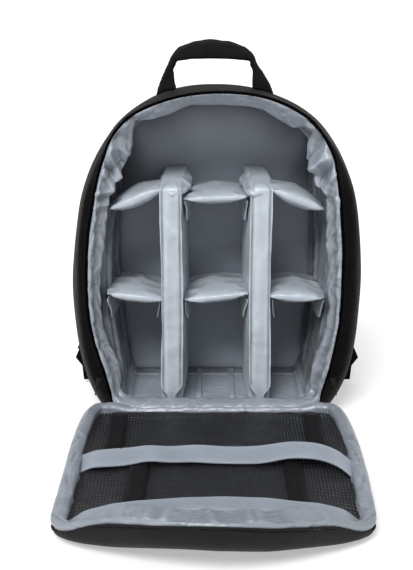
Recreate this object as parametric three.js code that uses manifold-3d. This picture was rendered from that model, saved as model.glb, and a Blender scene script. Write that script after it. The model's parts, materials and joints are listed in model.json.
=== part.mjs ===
// A camera backpack that stands open: a padded, arch-shaped body with dividers, and its front flap folded down
// on the floor before it. Millimetres, +Z up. The opening faces -Y. The origin is the middle of the flat base.

import * as THREE from "three";
import { mergeVertices } from "three/addons/utils/BufferGeometryUtils.js";
import Module from "manifold-3d";

const wasm = await Module();
wasm.setup();

// Body, seen from the front
const bodyWidth = 268;
const bodyHeight = 303;
const bodyDepth = 116;
const footWidth = 190;
const bodyWidestHeight = 115;
const crownDrop = 9;

// Opening, where the zip runs. It is narrower than the body's widest part.
const openingInset = 18.5;
const openingWidth = bodyWidth - 2 * openingInset;
const openingRise = 2;
const openingHeight = bodyHeight + openingRise;
const openingFootWidth = 168;
const footRise = 4;
const openingWidestHeight = 150;

// Walls and the gaps between layers
const shellWall = 2;
const liningWall = 11.5;
const liningFloor = 13.5;
const liningBack = 6;
const backPanelThickness = 9.5;
const faceDome = 0.3;
const cavityTaper = 10;
const lipBulge = 4;
const lipDepth = 2;
const clearance = 0.3;

// Flap, lying on the floor. Its corners sag and the middle of its tip curls up.
const flapShortfall = 7;
const flapLength = openingHeight - flapShortfall;
const flapSpread = 9.5;
const flapWidth = openingWidth + 2 * flapSpread;
const flapHingeWidth = 210;
const flapCornerRun = 72;
const flapWidestAt = flapLength - flapCornerRun;
const flapRimHeight = 21;
const flapBelly = 60;
const flapTipLift = 24;
const flapCurlRun = 113;
const flapCurlStart = flapLength - flapCurlRun;
const flapCornerSag = 0.42;
const flapShellWall = 2;
const flapPadding = 10;
const flapRollWidth = 12;
const flapRollHeight = 6;

// Mesh pockets on the flap. A pocket runs from the hinge side to its band, and its band slopes down from it.
// from, to and the bows are shares of the flap's length, low, high and bandDrop of its rim's height.
const meshThickness = 1.2;
const pockets = {
  lower: { from: 0.057, to: 0.37, bowFrom: 0, bowTo: 0.05, low: 0.715, high: 1.24, bandDrop: 0.29 },
  upper: { from: 0.35, to: 0.69, bowFrom: 0.05, bowTo: 0.05, low: 0.74, high: 0.95, bandDrop: 0.14 },
};
const bandWidth = 20;
const bandThickness = 1.6;
const tapeWidth = 15;
const tapeThickness = 1;
const lowerTapeInset = 20;
const upperTapeInset = 42;

// Dividers and shelves
const dividerSpacing = 80;
const dividerThickness = 20;
const dividerTop = 222;
const dividerToeIn = 3.2;
const dividerFrontInset = 5;
const dividerBackGap = 0.7;
const shelfThickness = 12;
const upperShelfThickness = 15;
const middleShelfHeight = 119;
const upperShelfHeight = 211;
const sideShelfDrop = 17;
const shelfFrontInset = 7;
const shelfBackInset = 3;
const tabThickness = 1.4;
const tabLength = 21;
const tabLean = 2.5;
const tabFrontInset = 3;
const floorTapeWidth = 5;
const floorTapeSpacing = 31;
const floorTapeThickness = 1.4;

// Zip
const zipTapeWidth = 8;
const zipTapeThickness = 1.4;
const sliderLength = 11;
const sliderWidth = 8;
const sliderThickness = 6;
const pullLength = 20;
const pullWidth = 5;
const pullThickness = 1.5;
const pullLean = 12;
const sliderHeight = 46;

// Carry handle, shoulder straps and their anchors
const handleSpan = 111;
const handleRise = 58;
const handleSway = -4;
const handleSeat = 20;
const handleThickness = 3;
const gripThickness = 5;
const strapTopSpacing = 78;
const strapBottomSpacing = 170;
const strapTopHeight = 268;
const strapBottomHeight = 108;
const strapWidth = 56;
const strapThickness = 10;
const strapBow = 26;
const webbingWidth = 24;
const webbingThickness = 1.8;
const buckleWidth = 34;
const buckleHeight = 22;
const buckleThickness = 5;
const wingPast = 3;
const wingReach = bodyWidth / 2 + wingPast;
const wingHeight = 52;
const wingThickness = 4;

const frontY = -bodyDepth / 2;
const backY = bodyDepth / 2;
const cavityDepth = bodyDepth - backPanelThickness - liningBack - 2 * clearance;

const footSegments = 3;
const sideSegments = 8;
const crownSegments = 11;

// An outline is one half of an arch, from the middle of its foot to the middle of its crown. foot and half are
// half widths. corner, side, shoulder and crown say how far each Bezier handle reaches, as a share.
const shellOutline = {
  foot: footWidth / 2, footZ: 0, half: bodyWidth / 2, wideZ: bodyWidestHeight, topZ: bodyHeight,
  corner: 0.72, side: 0.52, shoulder: 0.62, crown: 0.69,
};
const openingOutline = {
  foot: openingFootWidth / 2, footZ: footRise, half: openingWidth / 2, wideZ: openingWidestHeight,
  topZ: openingHeight, corner: 0.43, side: 0.42, shoulder: 0.56, crown: 0.8,
};
const flapOutline = {
  foot: flapHingeWidth / 2, footZ: 0, half: flapWidth / 2, wideZ: flapWidestAt, topZ: flapLength,
  corner: 0.7, side: 0.62, shoulder: 0.22, crown: 0.4,
};

function mixOutlines(a, b, share) {
  const mixed = {};
  for (const key of Object.keys(a)) mixed[key] = THREE.MathUtils.lerp(a[key], b[key], share);
  return mixed;
}

// The foot line of an inset arch rises, so its flat part hardly gets shorter.
function insetOutline(outline, inset, footInset = inset) {
  const footShare = 0.35;
  return {
    ...outline,
    foot: outline.foot - footShare * inset,
    footZ: outline.footZ + footInset,
    half: outline.half - inset,
    topZ: outline.topZ - inset,
  };
}

// The closed outline as 2D points: up the right side from the middle of the foot, and down the left.
function outlinePoints(o) {
  const start = new THREE.Vector2(0, o.footZ);
  const corner = new THREE.Vector2(o.foot, o.footZ);
  const widest = new THREE.Vector2(o.half, o.wideZ);
  const top = new THREE.Vector2(0, o.topZ);
  const side = new THREE.CubicBezierCurve(
    corner,
    new THREE.Vector2(THREE.MathUtils.lerp(o.foot, o.half, o.corner), o.footZ),
    new THREE.Vector2(o.half, THREE.MathUtils.lerp(o.wideZ, o.footZ, o.side)),
    widest,
  );
  const crown = new THREE.CubicBezierCurve(
    widest,
    new THREE.Vector2(o.half, THREE.MathUtils.lerp(o.wideZ, o.topZ, o.shoulder)),
    new THREE.Vector2(o.half * o.crown, o.topZ),
    top,
  );
  const right = [
    ...new THREE.LineCurve(start, corner).getPoints(footSegments),
    ...side.getPoints(sideSegments).slice(1),
    ...crown.getPoints(crownSegments).slice(1),
  ];
  const left = right.slice(1, -1).reverse().map((p) => new THREE.Vector2(-p.x, p.y));
  return [...right, ...left];
}

// A solid through rings of equal length. Its ends are closed by a fan each, or joined if it is looped.
function loft(rings, looped = false) {
  const count = rings[0].length;
  const points = rings.flat();
  const triangles = [];
  const last = looped ? rings.length : rings.length - 1;
  for (let r = 0; r < last; r += 1) {
    const next = (r + 1) % rings.length;
    for (let i = 0; i < count; i += 1) {
      const j = (i + 1) % count;
      const a = r * count + i;
      const b = r * count + j;
      const c = next * count + j;
      const d = next * count + i;
      triangles.push(a, b, c, a, c, d);
    }
  }
  if (!looped) {
    [0, rings.length - 1].forEach((r, end) => {
      const centre = new THREE.Vector3();
      rings[r].forEach((p) => centre.addScaledVector(p, 1 / count));
      points.push(centre);
      for (let i = 0; i < count; i += 1) {
        const a = r * count + i;
        const b = r * count + ((i + 1) % count);
        triangles.push(points.length - 1, end ? a : b, end ? b : a);
      }
    });
  }
  return facingOut(points, triangles);
}

// A solid between two grids of points, front(u, v) and back(u, v), with u and v from 0 to 1.
function slab(across, along, front, back) {
  const points = [];
  const triangles = [];
  const index = (side, i, j) => side * (across + 1) * (along + 1) + j * (across + 1) + i;
  [front, back].forEach((surface) => {
    for (let j = 0; j <= along; j += 1) {
      for (let i = 0; i <= across; i += 1) points.push(surface(i / across, j / along));
    }
  });
  const quad = (a, b, c, d) => triangles.push(a, b, c, a, c, d);
  for (let j = 0; j < along; j += 1) {
    for (let i = 0; i < across; i += 1) {
      quad(index(0, i, j), index(0, i + 1, j), index(0, i + 1, j + 1), index(0, i, j + 1));
      quad(index(1, i, j + 1), index(1, i + 1, j + 1), index(1, i + 1, j), index(1, i, j));
    }
    quad(index(0, 0, j), index(0, 0, j + 1), index(1, 0, j + 1), index(1, 0, j));
    quad(index(0, across, j + 1), index(0, across, j), index(1, across, j), index(1, across, j + 1));
  }
  for (let i = 0; i < across; i += 1) {
    quad(index(0, i + 1, 0), index(0, i, 0), index(1, i, 0), index(1, i + 1, 0));
    quad(index(0, i, along), index(0, i + 1, along), index(1, i + 1, along), index(1, i, along));
  }
  return facingOut(points, triangles);
}

// A geometry whose faces point outwards, whichever way round its sections ran.
function facingOut(points, triangles) {
  let volume = 0;
  const normal = new THREE.Vector3();
  for (let i = 0; i < triangles.length; i += 3) {
    const [a, b, c] = [points[triangles[i]], points[triangles[i + 1]], points[triangles[i + 2]]];
    volume += normal.crossVectors(b, c).dot(a);
  }
  if (volume < 0) triangles.reverse();
  const geometry = new THREE.BufferGeometry().setFromPoints(points);
  geometry.setIndex(triangles);
  return geometry;
}

function solidOf(geometry) {
  const bare = geometry.clone();
  bare.deleteAttribute("normal");
  bare.deleteAttribute("uv");
  const merged = mergeVertices(bare, 1e-3);
  return new wasm.Manifold(new wasm.Mesh({
    numProp: 3,
    vertProperties: new Float32Array(merged.attributes.position.array),
    triVerts: new Uint32Array(merged.index.array),
  }));
}

function geometryOf(solid) {
  const mesh = solid.getMesh();
  const geometry = new THREE.BufferGeometry();
  geometry.setAttribute("position", new THREE.BufferAttribute(new Float32Array(mesh.vertProperties), 3));
  geometry.setIndex([...mesh.triVerts]);
  return geometry;
}

// Body walls. Each section of the shell says how far it has flared from the opening to the full body, how much
// lower its crown is, as a share of crownDrop, and how far its foot is off the floor, as a share of footRise.
const shellSections = [
  { depth: 0, flare: 0, drop: 0, rise: 1 },
  { depth: 0.06, flare: 0.4, drop: 0, rise: 0.4 },
  { depth: 0.14, flare: 0.66, drop: 0.03, rise: 0 },
  { depth: 0.25, flare: 0.86, drop: 0.06, rise: 0 },
  { depth: 0.42, flare: 0.98, drop: 0.15, rise: 0 },
  { depth: 0.65, flare: 1, drop: 0.4, rise: 0 },
  { depth: 0.86, flare: 0.88, drop: 0.75, rise: 0 },
  { depth: 0.96, flare: 0.7, drop: 0.95, rise: 0.1 },
  { depth: 1, flare: 0.5, drop: 1, rise: 0.5 },
];

function shellSectionAt(depthShare) {
  const after = shellSections.findIndex((s) => s.depth >= depthShare);
  if (after <= 0) return shellSections[0];
  const [a, b] = [shellSections[after - 1], shellSections[after]];
  const share = (depthShare - a.depth) / (b.depth - a.depth);
  return mixOutlines(a, b, share);
}

function bodyRing(depth, inset) {
  const section = shellSectionAt(depth / bodyDepth);
  const outline = mixOutlines(openingOutline, shellOutline, section.flare);
  outline.topZ -= crownDrop * section.drop;
  outline.footZ = footRise * section.rise;
  return outlinePoints(insetOutline(outline, inset)).map((p) => new THREE.Vector3(p.x, frontY + depth, p.y));
}

// The room inside the padded lining, at a depth from 0 to cavityDepth. It gets narrower towards the back.
function cavityOutline(depth, inset = 0) {
  const taper = (cavityTaper * depth) / cavityDepth;
  const wall = shellWall + clearance + liningWall + taper + inset;
  const floor = shellWall + clearance + liningFloor + inset - footRise;
  return insetOutline(openingOutline, wall, floor);
}

function cavityRing(depth, inset = 0) {
  return outlinePoints(cavityOutline(depth, inset)).map((p) => new THREE.Vector3(p.x, frontY + depth, p.y));
}

// Half the cavity's width at a height and depth, measured on the same straight facets as the lining.
function cavityHalfWidth(height, depth) {
  const ring = cavityRing(depth);
  const half = ring.slice(0, ring.length / 2 + 1);
  for (let i = footSegments; i < half.length - 1; i += 1) {
    const [a, b] = [half[i], half[i + 1]];
    if (a.z <= height && height <= b.z) return THREE.MathUtils.mapLinear(height, a.z, b.z, a.x, b.x);
  }
  return half[footSegments].x;
}

function shellGusset() {
  const outer = shellSections.map((s) => bodyRing(s.depth * bodyDepth, 0));
  const inner = shellSections.map((s) => bodyRing(s.depth * bodyDepth, shellWall));
  return loft([...outer, ...inner.reverse()], true);
}

function backPanel() {
  const start = bodyDepth - backPanelThickness;
  const fit = shellWall + 2 * clearance;
  const edgeRound = 3;
  return loft([
    bodyRing(start, fit),
    bodyRing(bodyDepth * 0.96, fit),
    bodyRing(bodyDepth, fit),
    bodyRing(bodyDepth, fit + edgeRound).map((p) => p.setY(backY + faceDome)),
  ]);
}

function liningGusset() {
  const fit = shellWall + clearance;
  const end = cavityDepth + liningBack;
  const depths = shellSections.map((s) => s.depth * bodyDepth).filter((d) => d < end);
  const outer = [...depths, end].map((d) => bodyRing(d, fit));
  const inner = [lipDepth, cavityDepth, end].map((d) => cavityRing(Math.min(d, cavityDepth)).map((p) => p.setY(frontY + d)));
  const lip = [0.25, 0.75].map((share) =>
    outer[0].map((p, i) => p.clone().lerp(inner[0][i], share).setY(frontY - lipBulge)));
  return loft([...outer.slice().reverse(), ...lip, ...inner], true);
}

function liningBackPanel() {
  const front = cavityRing(cavityDepth, clearance);
  const back = front.map((p) => p.clone().setY(p.y + liningBack));
  return loft([front, back]);
}

// The part of a ring above the foot, from the right foot over the crown to the left foot.
function archOf(ring, skipped) {
  return ring.slice(skipped, ring.length - skipped + 1);
}

const zipSkipped = footSegments + 3;

function zipTape(outerRing, innerRing, rise) {
  const outer = archOf(outerRing, zipSkipped);
  const inner = archOf(innerRing, zipSkipped);
  const at = (points, u, v) => {
    const p = points[Math.round(u * (points.length - 1))].clone();
    return p.addScaledVector(rise, v);
  };
  return slab(outer.length - 1, 1, (u, v) => at(outer, u, v), (u, v) => at(inner, u, v));
}

function bodyZipTape() {
  const edge = 0.2;
  const forward = (ring) => ring.map((p) => p.setY(frontY - clearance));
  const outer = forward(bodyRing(0, edge));
  const inner = forward(bodyRing(0, edge + zipTapeThickness));
  return zipTape(outer, inner, new THREE.Vector3(0, -zipTapeWidth, 0));
}

function zipSlider(side) {
  const height = sliderHeight;
  const ring = bodyRing(0, zipTapeThickness);
  const above = ring.findIndex((p) => p.z > height);
  const [a, b] = [ring[above - 1], ring[above]];
  const reach = THREE.MathUtils.mapLinear(height, a.z, b.z, a.x, b.x);
  const bite = 1.5;
  const body = new THREE.BoxGeometry(sliderThickness, sliderWidth, sliderLength);
  const pull = new THREE.BoxGeometry(pullThickness, pullWidth, pullLength);
  pull.translate(0, 0, -pullLength / 2);
  pull.rotateY(THREE.MathUtils.degToRad(-pullLean));
  pull.translate(sliderThickness / 2 - bite, 0, 0);
  const joined = geometryOf(solidOf(body).add(solidOf(pull)));
  joined.rotateZ(side < 0 ? Math.PI : 0);
  joined.translate(side * reach, frontY - zipTapeWidth - 2 * clearance - sliderWidth / 2, height);
  return joined;
}

// Flap. x runs across it, v away from the hinge and z up. It curls up towards its tip and is low at the hinge.
const hingeStart = lipBulge + clearance;

function flapPoint(x, v, z) {
  const hingeShare = 0.85;
  const hingeRun = 40;
  const { lerp, smoothstep } = THREE.MathUtils;
  const side = Math.min(1, Math.abs(x) / (flapWidth / 2));
  const curl = Math.max(0, (v - flapCurlStart) / flapCurlRun);
  const sag = flapCornerSag * smoothstep(side, 0.55, 1) * smoothstep(v, flapCurlStart - hingeRun, flapWidestAt);
  const rise = lerp(hingeShare, 1, smoothstep(v, 0, hingeRun)) * (1 - sag);
  const lift = flapTipLift * curl ** 2 * (1 - 0.85 * side ** 1.7);
  return new THREE.Vector3(x, frontY - hingeStart - v, z * rise + lift);
}

function flapRingOf(outline, height) {
  return outlinePoints(outline).map((p) => flapPoint(p.x, p.y, height));
}

function flapRing(inset, height) {
  return flapRingOf(insetOutline(flapOutline, inset), height);
}

// The flat middle of the flap, which ends where the tip starts to curl.
const flapMiddle = {
  ...flapOutline,
  foot: flapHingeWidth * 0.3,
  footZ: flapBelly,
  half: flapWidth * 0.3,
  wideZ: flapCurlStart * 0.8,
  topZ: flapCurlStart,
};

// The flap's belly, from its flat underside up to the rim. in is a share of the belly, up of the rim height.
const bellySections = [
  { in: 0.62, up: 0 },
  { in: 0.18, up: 0.07 },
  { in: 0.06, up: 0.42 },
  { in: 0, up: 1 },
];

function bellyRings(offset) {
  return bellySections.map((s) => {
    const height = s.up * flapRimHeight;
    const lifted = offset * (1 - s.up);
    return flapRing(s.in * flapBelly + offset * Math.min(1, s.up * 3), height + lifted);
  });
}

function flapShell() {
  const outer = [flapRingOf(flapMiddle, 0), ...bellyRings(0)];
  const inner = [flapRingOf(flapMiddle, flapShellWall), ...bellyRings(flapShellWall)];
  return loft([...outer, ...inner.reverse()]);
}

const flapFit = flapShellWall + clearance;
const flapFloorHeight = flapFit + flapPadding;

function flapLining() {
  const rim = flapFit + flapRollWidth;
  const top = flapRimHeight + flapRollHeight;
  const roll = [
    { in: flapFit, up: flapRimHeight + flapRollHeight * 0.5 },
    { in: flapFit + flapRollWidth * 0.25, up: top },
    { in: flapFit + flapRollWidth * 0.75, up: top },
    { in: rim, up: flapRimHeight + flapRollHeight * 0.5 },
    { in: rim, up: flapFloorHeight },
  ].map((s) => flapRing(s.in, s.up));
  const floor = [0.35, 0.7, 1].map((share) =>
    flapRingOf(mixOutlines(insetOutline(flapOutline, rim), flapMiddle, share), flapFloorHeight));
  const seat = flapFit + 3 * clearance;
  return loft([flapRingOf(flapMiddle, seat), ...bellyRings(seat), ...roll, ...floor]);
}

function flapZipTape() {
  const edge = 0.2;
  const outer = flapRing(edge, flapRimHeight + clearance);
  const inner = flapRing(edge + zipTapeThickness, flapRimHeight + clearance);
  return zipTape(outer, inner, new THREE.Vector3(0, 0, flapRollHeight * 0.35));
}

// Half the clear width between the rolled edges of the flap, at a distance from the hinge.
const meshInset = flapFit + flapRollWidth + clearance;

function flapClearHalf(v) {
  const points = outlinePoints(insetOutline(flapOutline, meshInset));
  const half = points.slice(footSegments, points.length / 2 + 1);
  const above = half.findIndex((p) => p.y >= v);
  if (above < 0) return 0;
  if (above === 0) return half[0].x;
  const [a, b] = [half[above - 1], half[above]];
  return THREE.MathUtils.mapLinear(v, a.y, b.y, a.x, b.x);
}

// A point on a pocket's net, a share of the way to its free edge, or on its band past a share of 1. across turns
// half the clear width there into a distance from the flap's middle line.
function pocketPoint(pocket, across, share, lift) {
  const net = Math.min(share, 1);
  const band = Math.max(share - 1, 0);
  const v = THREE.MathUtils.lerp(pocket.from, pocket.to, net) * flapLength + band * bandWidth;
  const bow = THREE.MathUtils.lerp(pocket.bowFrom, pocket.bowTo, net) * flapLength;
  const half = flapClearHalf(v + bow);
  const z = (THREE.MathUtils.lerp(pocket.low, pocket.high, net) - band * pocket.bandDrop) * flapRimHeight;
  const x = across(half);
  return flapPoint(x, v + bow * (x / half) ** 2, z + lift);
}

function pocketStrip(pocket, from, to, thickness, across, along) {
  const at = (u, t, lift) =>
    pocketPoint(pocket, (half) => THREE.MathUtils.lerp(-half, half, u), THREE.MathUtils.lerp(from, to, t), lift);
  return slab(across, along, (u, t) => at(u, t, 0), (u, t) => at(u, t, thickness));
}

function meshPocket(pocket) {
  return pocketStrip(pocket, 0, 1, meshThickness, 12, 5);
}

function pocketBand(pocket) {
  return pocketStrip(pocket, 1 + clearance / bandWidth, 2, bandThickness, 12, 2);
}

// A narrow tape that lies on a pocket's net, along the flap.
function meshTape(pocket, centre, from, to) {
  const at = (u, t, lift) =>
    pocketPoint(pocket, () => centre + (u - 0.5) * tapeWidth, THREE.MathUtils.lerp(from, to, t), lift);
  const seat = meshThickness + 2 * clearance;
  return slab(1, 5, (u, t) => at(u, t, seat), (u, t) => at(u, t, seat + tapeThickness));
}

// How thick a padded panel is at a share of the way across, against its middle. It is thinnest at its ends.
function padShare(share, power, least) {
  const side = Math.abs(2 * share - 1) ** power;
  return least + (1 - least) * Math.sqrt(Math.max(0, 1 - side));
}

// Padded panels. A panel spans four corners, is thick in the middle and thin at its sewn ends.
function pad({ corners, thickness, endShare, frontShare, endPower = 3, across = 8, along = 4 }) {
  const [a, b, c, d] = corners;
  const frontPower = 6;
  const middle = (u, v) => a.clone().lerp(b, u).lerp(d.clone().lerp(c, u), v);
  const normal = b.clone().sub(a).cross(d.clone().sub(a)).normalize();
  const half = (u, v) => (thickness / 2) * padShare(u, endPower, endShare) * padShare(v, frontPower, frontShare);
  const spread = (u, v, side) => middle(u, v).addScaledVector(normal, side * half(u, v));
  return slab(across, along, (u, v) => spread(u, v, -1), (u, v) => spread(u, v, 1));
}

const toeIn = Math.tan(THREE.MathUtils.degToRad(dividerToeIn));

// The middle plane of a divider is at this distance from the centre line, at a depth behind the opening.
function dividerCentre(depth) {
  return dividerSpacing / 2 - toeIn * (depth - dividerFrontInset);
}

const dividerFloor = cavityOutline(cavityDepth).footZ + clearance;
const dividerEnds = { endShare: 0.3, endPower: 12, across: 16 };

function divider(side) {
  const front = dividerFrontInset;
  const back = cavityDepth - dividerBackGap;
  const at = (depth, z) => new THREE.Vector3(side * dividerCentre(depth), frontY + depth, z);
  return pad({
    corners: [at(front, dividerFloor), at(front, dividerTop), at(back, dividerTop), at(back, dividerFloor)],
    thickness: dividerThickness,
    frontShare: 0.93,
    ...dividerEnds,
  });
}

// Half a divider's thickness at a height, on its own straight facets.
function dividerHalf(height) {
  const { endShare, endPower, across } = dividerEnds;
  const row = ((height - dividerFloor) / (dividerTop - dividerFloor)) * across;
  const share = (r) => padShare(r / across, endPower, endShare);
  return (dividerThickness / 2) * THREE.MathUtils.lerp(share(Math.floor(row)), share(Math.ceil(row)), row % 1);
}

// The face of a divider towards the centre line (-1) or the side wall (1), with its clearance.
function dividerFace(depth, towards, half = dividerThickness / 2) {
  return dividerCentre(depth) + towards * (half + clearance);
}

const shelfBack = cavityDepth - shelfBackInset;

function centreShelf(height, thickness) {
  const half = Math.max(dividerHalf(height - thickness / 4), dividerHalf(height + thickness / 4));
  const reach = (depth) => dividerFace(depth, -1, half);
  const at = (side, depth) => new THREE.Vector3(side * reach(depth), frontY + depth, height);
  return pad({
    corners: [at(-1, shelfFrontInset), at(1, shelfFrontInset), at(1, shelfBack), at(-1, shelfBack)],
    thickness,
    endShare: 0.3,
    frontShare: 0.55,
  });
}

function sideShelf(side, innerHeight, outerHeight, thickness) {
  const inner = (depth) => new THREE.Vector3(side * dividerFace(depth, 1), frontY + depth, innerHeight);
  const outer = (depth) => {
    const nearWall = Math.min(
      cavityHalfWidth(outerHeight + thickness / 4, depth),
      cavityHalfWidth(outerHeight - thickness / 4, depth),
    );
    return new THREE.Vector3(side * (nearWall - 2 * clearance), frontY + depth, outerHeight);
  };
  return pad({
    corners: [inner(shelfFrontInset), outer(shelfFrontInset), outer(shelfBack), inner(shelfBack)],
    thickness,
    endShare: 0.3,
    frontShare: 0.55,
  });
}

// A sewn tab that hangs from a shelf's end along a face. x(depth) is the face, and away points off it.
function shelfTab(x, away, top) {
  const front = shelfFrontInset + tabFrontInset;
  const run = (cavityDepth - shelfFrontInset) * 0.8;
  const at = (u, v, offset) => {
    const depth = front + run * u + 8 * v * (1 - 2 * u);
    const lean = tabLean * v + clearance + offset;
    return new THREE.Vector3(x(depth) + away * lean, frontY + depth, top - tabLength * v);
  };
  return slab(2, 2, (u, v) => at(u, v, 0), (u, v) => at(u, v, tabThickness));
}

// A tab folded over a divider's top end, from a side shelf.
function foldedTab(side) {
  const top = dividerTop + clearance;
  const profile = new THREE.Shape();
  const out = dividerThickness * 0.42;
  const drop = tabLength * 0.33;
  const inner = -dividerThickness / 2 - clearance;
  profile.moveTo(out, top);
  profile.lineTo(inner, top);
  profile.lineTo(inner, top - drop);
  profile.lineTo(inner - tabThickness, top - drop);
  profile.lineTo(inner - tabThickness, top + tabThickness);
  profile.lineTo(out, top + tabThickness);
  profile.closePath();
  const run = (cavityDepth - shelfFrontInset) * 0.75;
  const geometry = new THREE.ExtrudeGeometry(profile, { depth: run, bevelEnabled: false });
  const start = shelfFrontInset + tabFrontInset;
  geometry.rotateX(Math.PI / 2);
  geometry.scale(side, 1, 1);
  return seatOn(geometry, (p) => {
    const depth = start - p.y;
    return new THREE.Vector3(side * dividerCentre(depth) + p.x, frontY + depth, p.z);
  });
}

// Rebuilds a geometry with each vertex moved by a rule, with its faces outwards.
function seatOn(geometry, place) {
  const bare = geometry.clone();
  bare.deleteAttribute("normal");
  bare.deleteAttribute("uv");
  const merged = mergeVertices(bare, 1e-3);
  const position = merged.attributes.position;
  const points = [];
  for (let i = 0; i < position.count; i += 1) {
    points.push(place(new THREE.Vector3().fromBufferAttribute(position, i)));
  }
  return facingOut(points, [...merged.index.array]);
}

function floorTape(side) {
  const floor = cavityOutline(cavityDepth).footZ + clearance;
  const length = cavityDepth * 0.86;
  const geometry = new THREE.BoxGeometry(floorTapeWidth, length, floorTapeThickness);
  geometry.translate(
    (side * floorTapeSpacing) / 2,
    frontY + cavityDepth - clearance - length / 2,
    floor + floorTapeThickness / 2,
  );
  return geometry;
}

// The body's outer form, a little larger than the shell, to trim what is sewn to it.
function bodyEnvelope() {
  return solidOf(loft([
    ...shellSections.map((s) => bodyRing(s.depth * bodyDepth, -clearance)),
    bodyRing(bodyDepth, -clearance).map((p) => p.setY(backY + faceDome + clearance)),
  ]));
}

// Carry handle: legs that narrow to a folded shoulder, and a wide grip. Shares are of half the span, and of the rise.
const handleSections = [
  { outerX: 1, outerZ: 0, innerX: 0.68, innerZ: 0, thick: 0 },
  { outerX: 0.93, outerZ: 0.25, innerX: 0.69, innerZ: 0.25, thick: 0 },
  { outerX: 0.83, outerZ: 0.48, innerX: 0.7, innerZ: 0.48, thick: 0 },
  { outerX: 0.72, outerZ: 0.68, innerX: 0.63, innerZ: 0.6, thick: 0.6 },
  { outerX: 0.56, outerZ: 0.86, innerX: 0.48, innerZ: 0.62, thick: 1 },
  { outerX: 0.3, outerZ: 0.97, innerX: 0.26, innerZ: 0.635, thick: 1 },
  { outerX: 0, outerZ: 1, innerX: 0, innerZ: 0.64, thick: 1 },
];
const handleDepthShare = 0.86;

function carryHandle() {
  const right = handleSections;
  const left = handleSections.slice(0, -1).reverse().map((s) => ({ ...s, outerX: -s.outerX, innerX: -s.innerX }));
  const rows = [...right, ...left];
  const base = bodyHeight - handleSeat;
  const at = (u, v, side) => {
    const s = rows[Math.round(v * (rows.length - 1))];
    const rise = THREE.MathUtils.lerp(s.outerZ, s.innerZ, u);
    const x = THREE.MathUtils.lerp(s.outerX, s.innerX, u) * (handleSpan / 2) + handleSway * rise;
    const z = base + rise * handleRise;
    const thickness = THREE.MathUtils.lerp(handleThickness, gripThickness, s.thick);
    return new THREE.Vector3(x, frontY + bodyDepth * handleDepthShare + (side * thickness) / 2, z);
  };
  const whole = slab(1, rows.length - 1, (u, v) => at(u, v, -1), (u, v) => at(u, v, 1));
  return geometryOf(solidOf(whole).subtract(bodyEnvelope()));
}

// A flat strap along a curve. across(t) is the direction of its width.
function strap({ curve, width, thickness, across, along, wide = 2 }) {
  const at = (u, t, side) => {
    const centre = curve.getPointAt(t);
    const direction = across(t).normalize();
    const normal = curve.getTangentAt(t).cross(direction).normalize();
    return centre.addScaledVector(direction, (u - 0.5) * width(t)).addScaledVector(normal, (side * thickness) / 2);
  };
  return slab(wide, along, (u, t) => at(u, t, -1), (u, t) => at(u, t, 1));
}

// Shoulder strap: sewn flat at the top of the back panel, bowed off it, and down to its buckle. Shares run from
// the top end to the bottom end.
const strapSections = [
  { spread: 0, off: 0, down: 0 },
  { spread: 0.05, off: 0.25, down: 0.14 },
  { spread: 0.25, off: 0.8, down: 0.38 },
  { spread: 0.6, off: 1, down: 0.65 },
  { spread: 0.86, off: 0.82, down: 0.86 },
  { spread: 1, off: 0.6, down: 1 },
];
const strapStandoff = faceDome + clearance + strapThickness / 2;

function strapPoint(side, s) {
  return new THREE.Vector3(
    side * THREE.MathUtils.lerp(strapTopSpacing / 2, strapBottomSpacing / 2, s.spread),
    backY + strapStandoff + strapBow * s.off,
    THREE.MathUtils.lerp(strapTopHeight, strapBottomHeight, s.down),
  );
}

function shoulderStrap(side) {
  const endShare = 0.62;
  return strap({
    curve: new THREE.CatmullRomCurve3(strapSections.map((s) => strapPoint(side, s))),
    width: (t) => strapWidth * THREE.MathUtils.lerp(1, endShare, THREE.MathUtils.smoothstep(t, 0.75, 1)),
    thickness: strapThickness,
    across: () => new THREE.Vector3(1, 0, 0),
    along: 14,
  });
}

function buckleCentre(side) {
  const end = strapPoint(side, strapSections.at(-1));
  return end.add(new THREE.Vector3(side * 2.5, -1, -buckleHeight / 2 - 2 * clearance));
}

// A ladder-lock buckle: a plate with two slots for the webbing.
function strapBuckle(side) {
  const frame = new THREE.Shape();
  frame.moveTo(-buckleWidth / 2, -buckleHeight / 2);
  frame.lineTo(buckleWidth / 2, -buckleHeight / 2);
  frame.lineTo(buckleWidth / 2, buckleHeight / 2);
  frame.lineTo(-buckleWidth / 2, buckleHeight / 2);
  frame.closePath();
  const slotHeight = buckleHeight * 0.2;
  [-0.24, 0.2].forEach((share) => {
    const slot = new THREE.Path();
    const [w, z] = [webbingWidth / 2 + 1, share * buckleHeight];
    slot.moveTo(-w, z - slotHeight / 2);
    slot.lineTo(-w, z + slotHeight / 2);
    slot.lineTo(w, z + slotHeight / 2);
    slot.lineTo(w, z - slotHeight / 2);
    slot.closePath();
    frame.holes.push(slot);
  });
  const geometry = new THREE.ExtrudeGeometry(frame, { depth: buckleThickness, bevelEnabled: false });
  geometry.translate(0, 0, -buckleThickness / 2);
  geometry.rotateX(Math.PI / 2);
  const centre = buckleCentre(side);
  geometry.translate(centre.x, centre.y, centre.z);
  return geometry;
}

const wingDepth = bodyDepth * 0.86;
const wingBackY = frontY + wingDepth + wingThickness;

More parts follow.
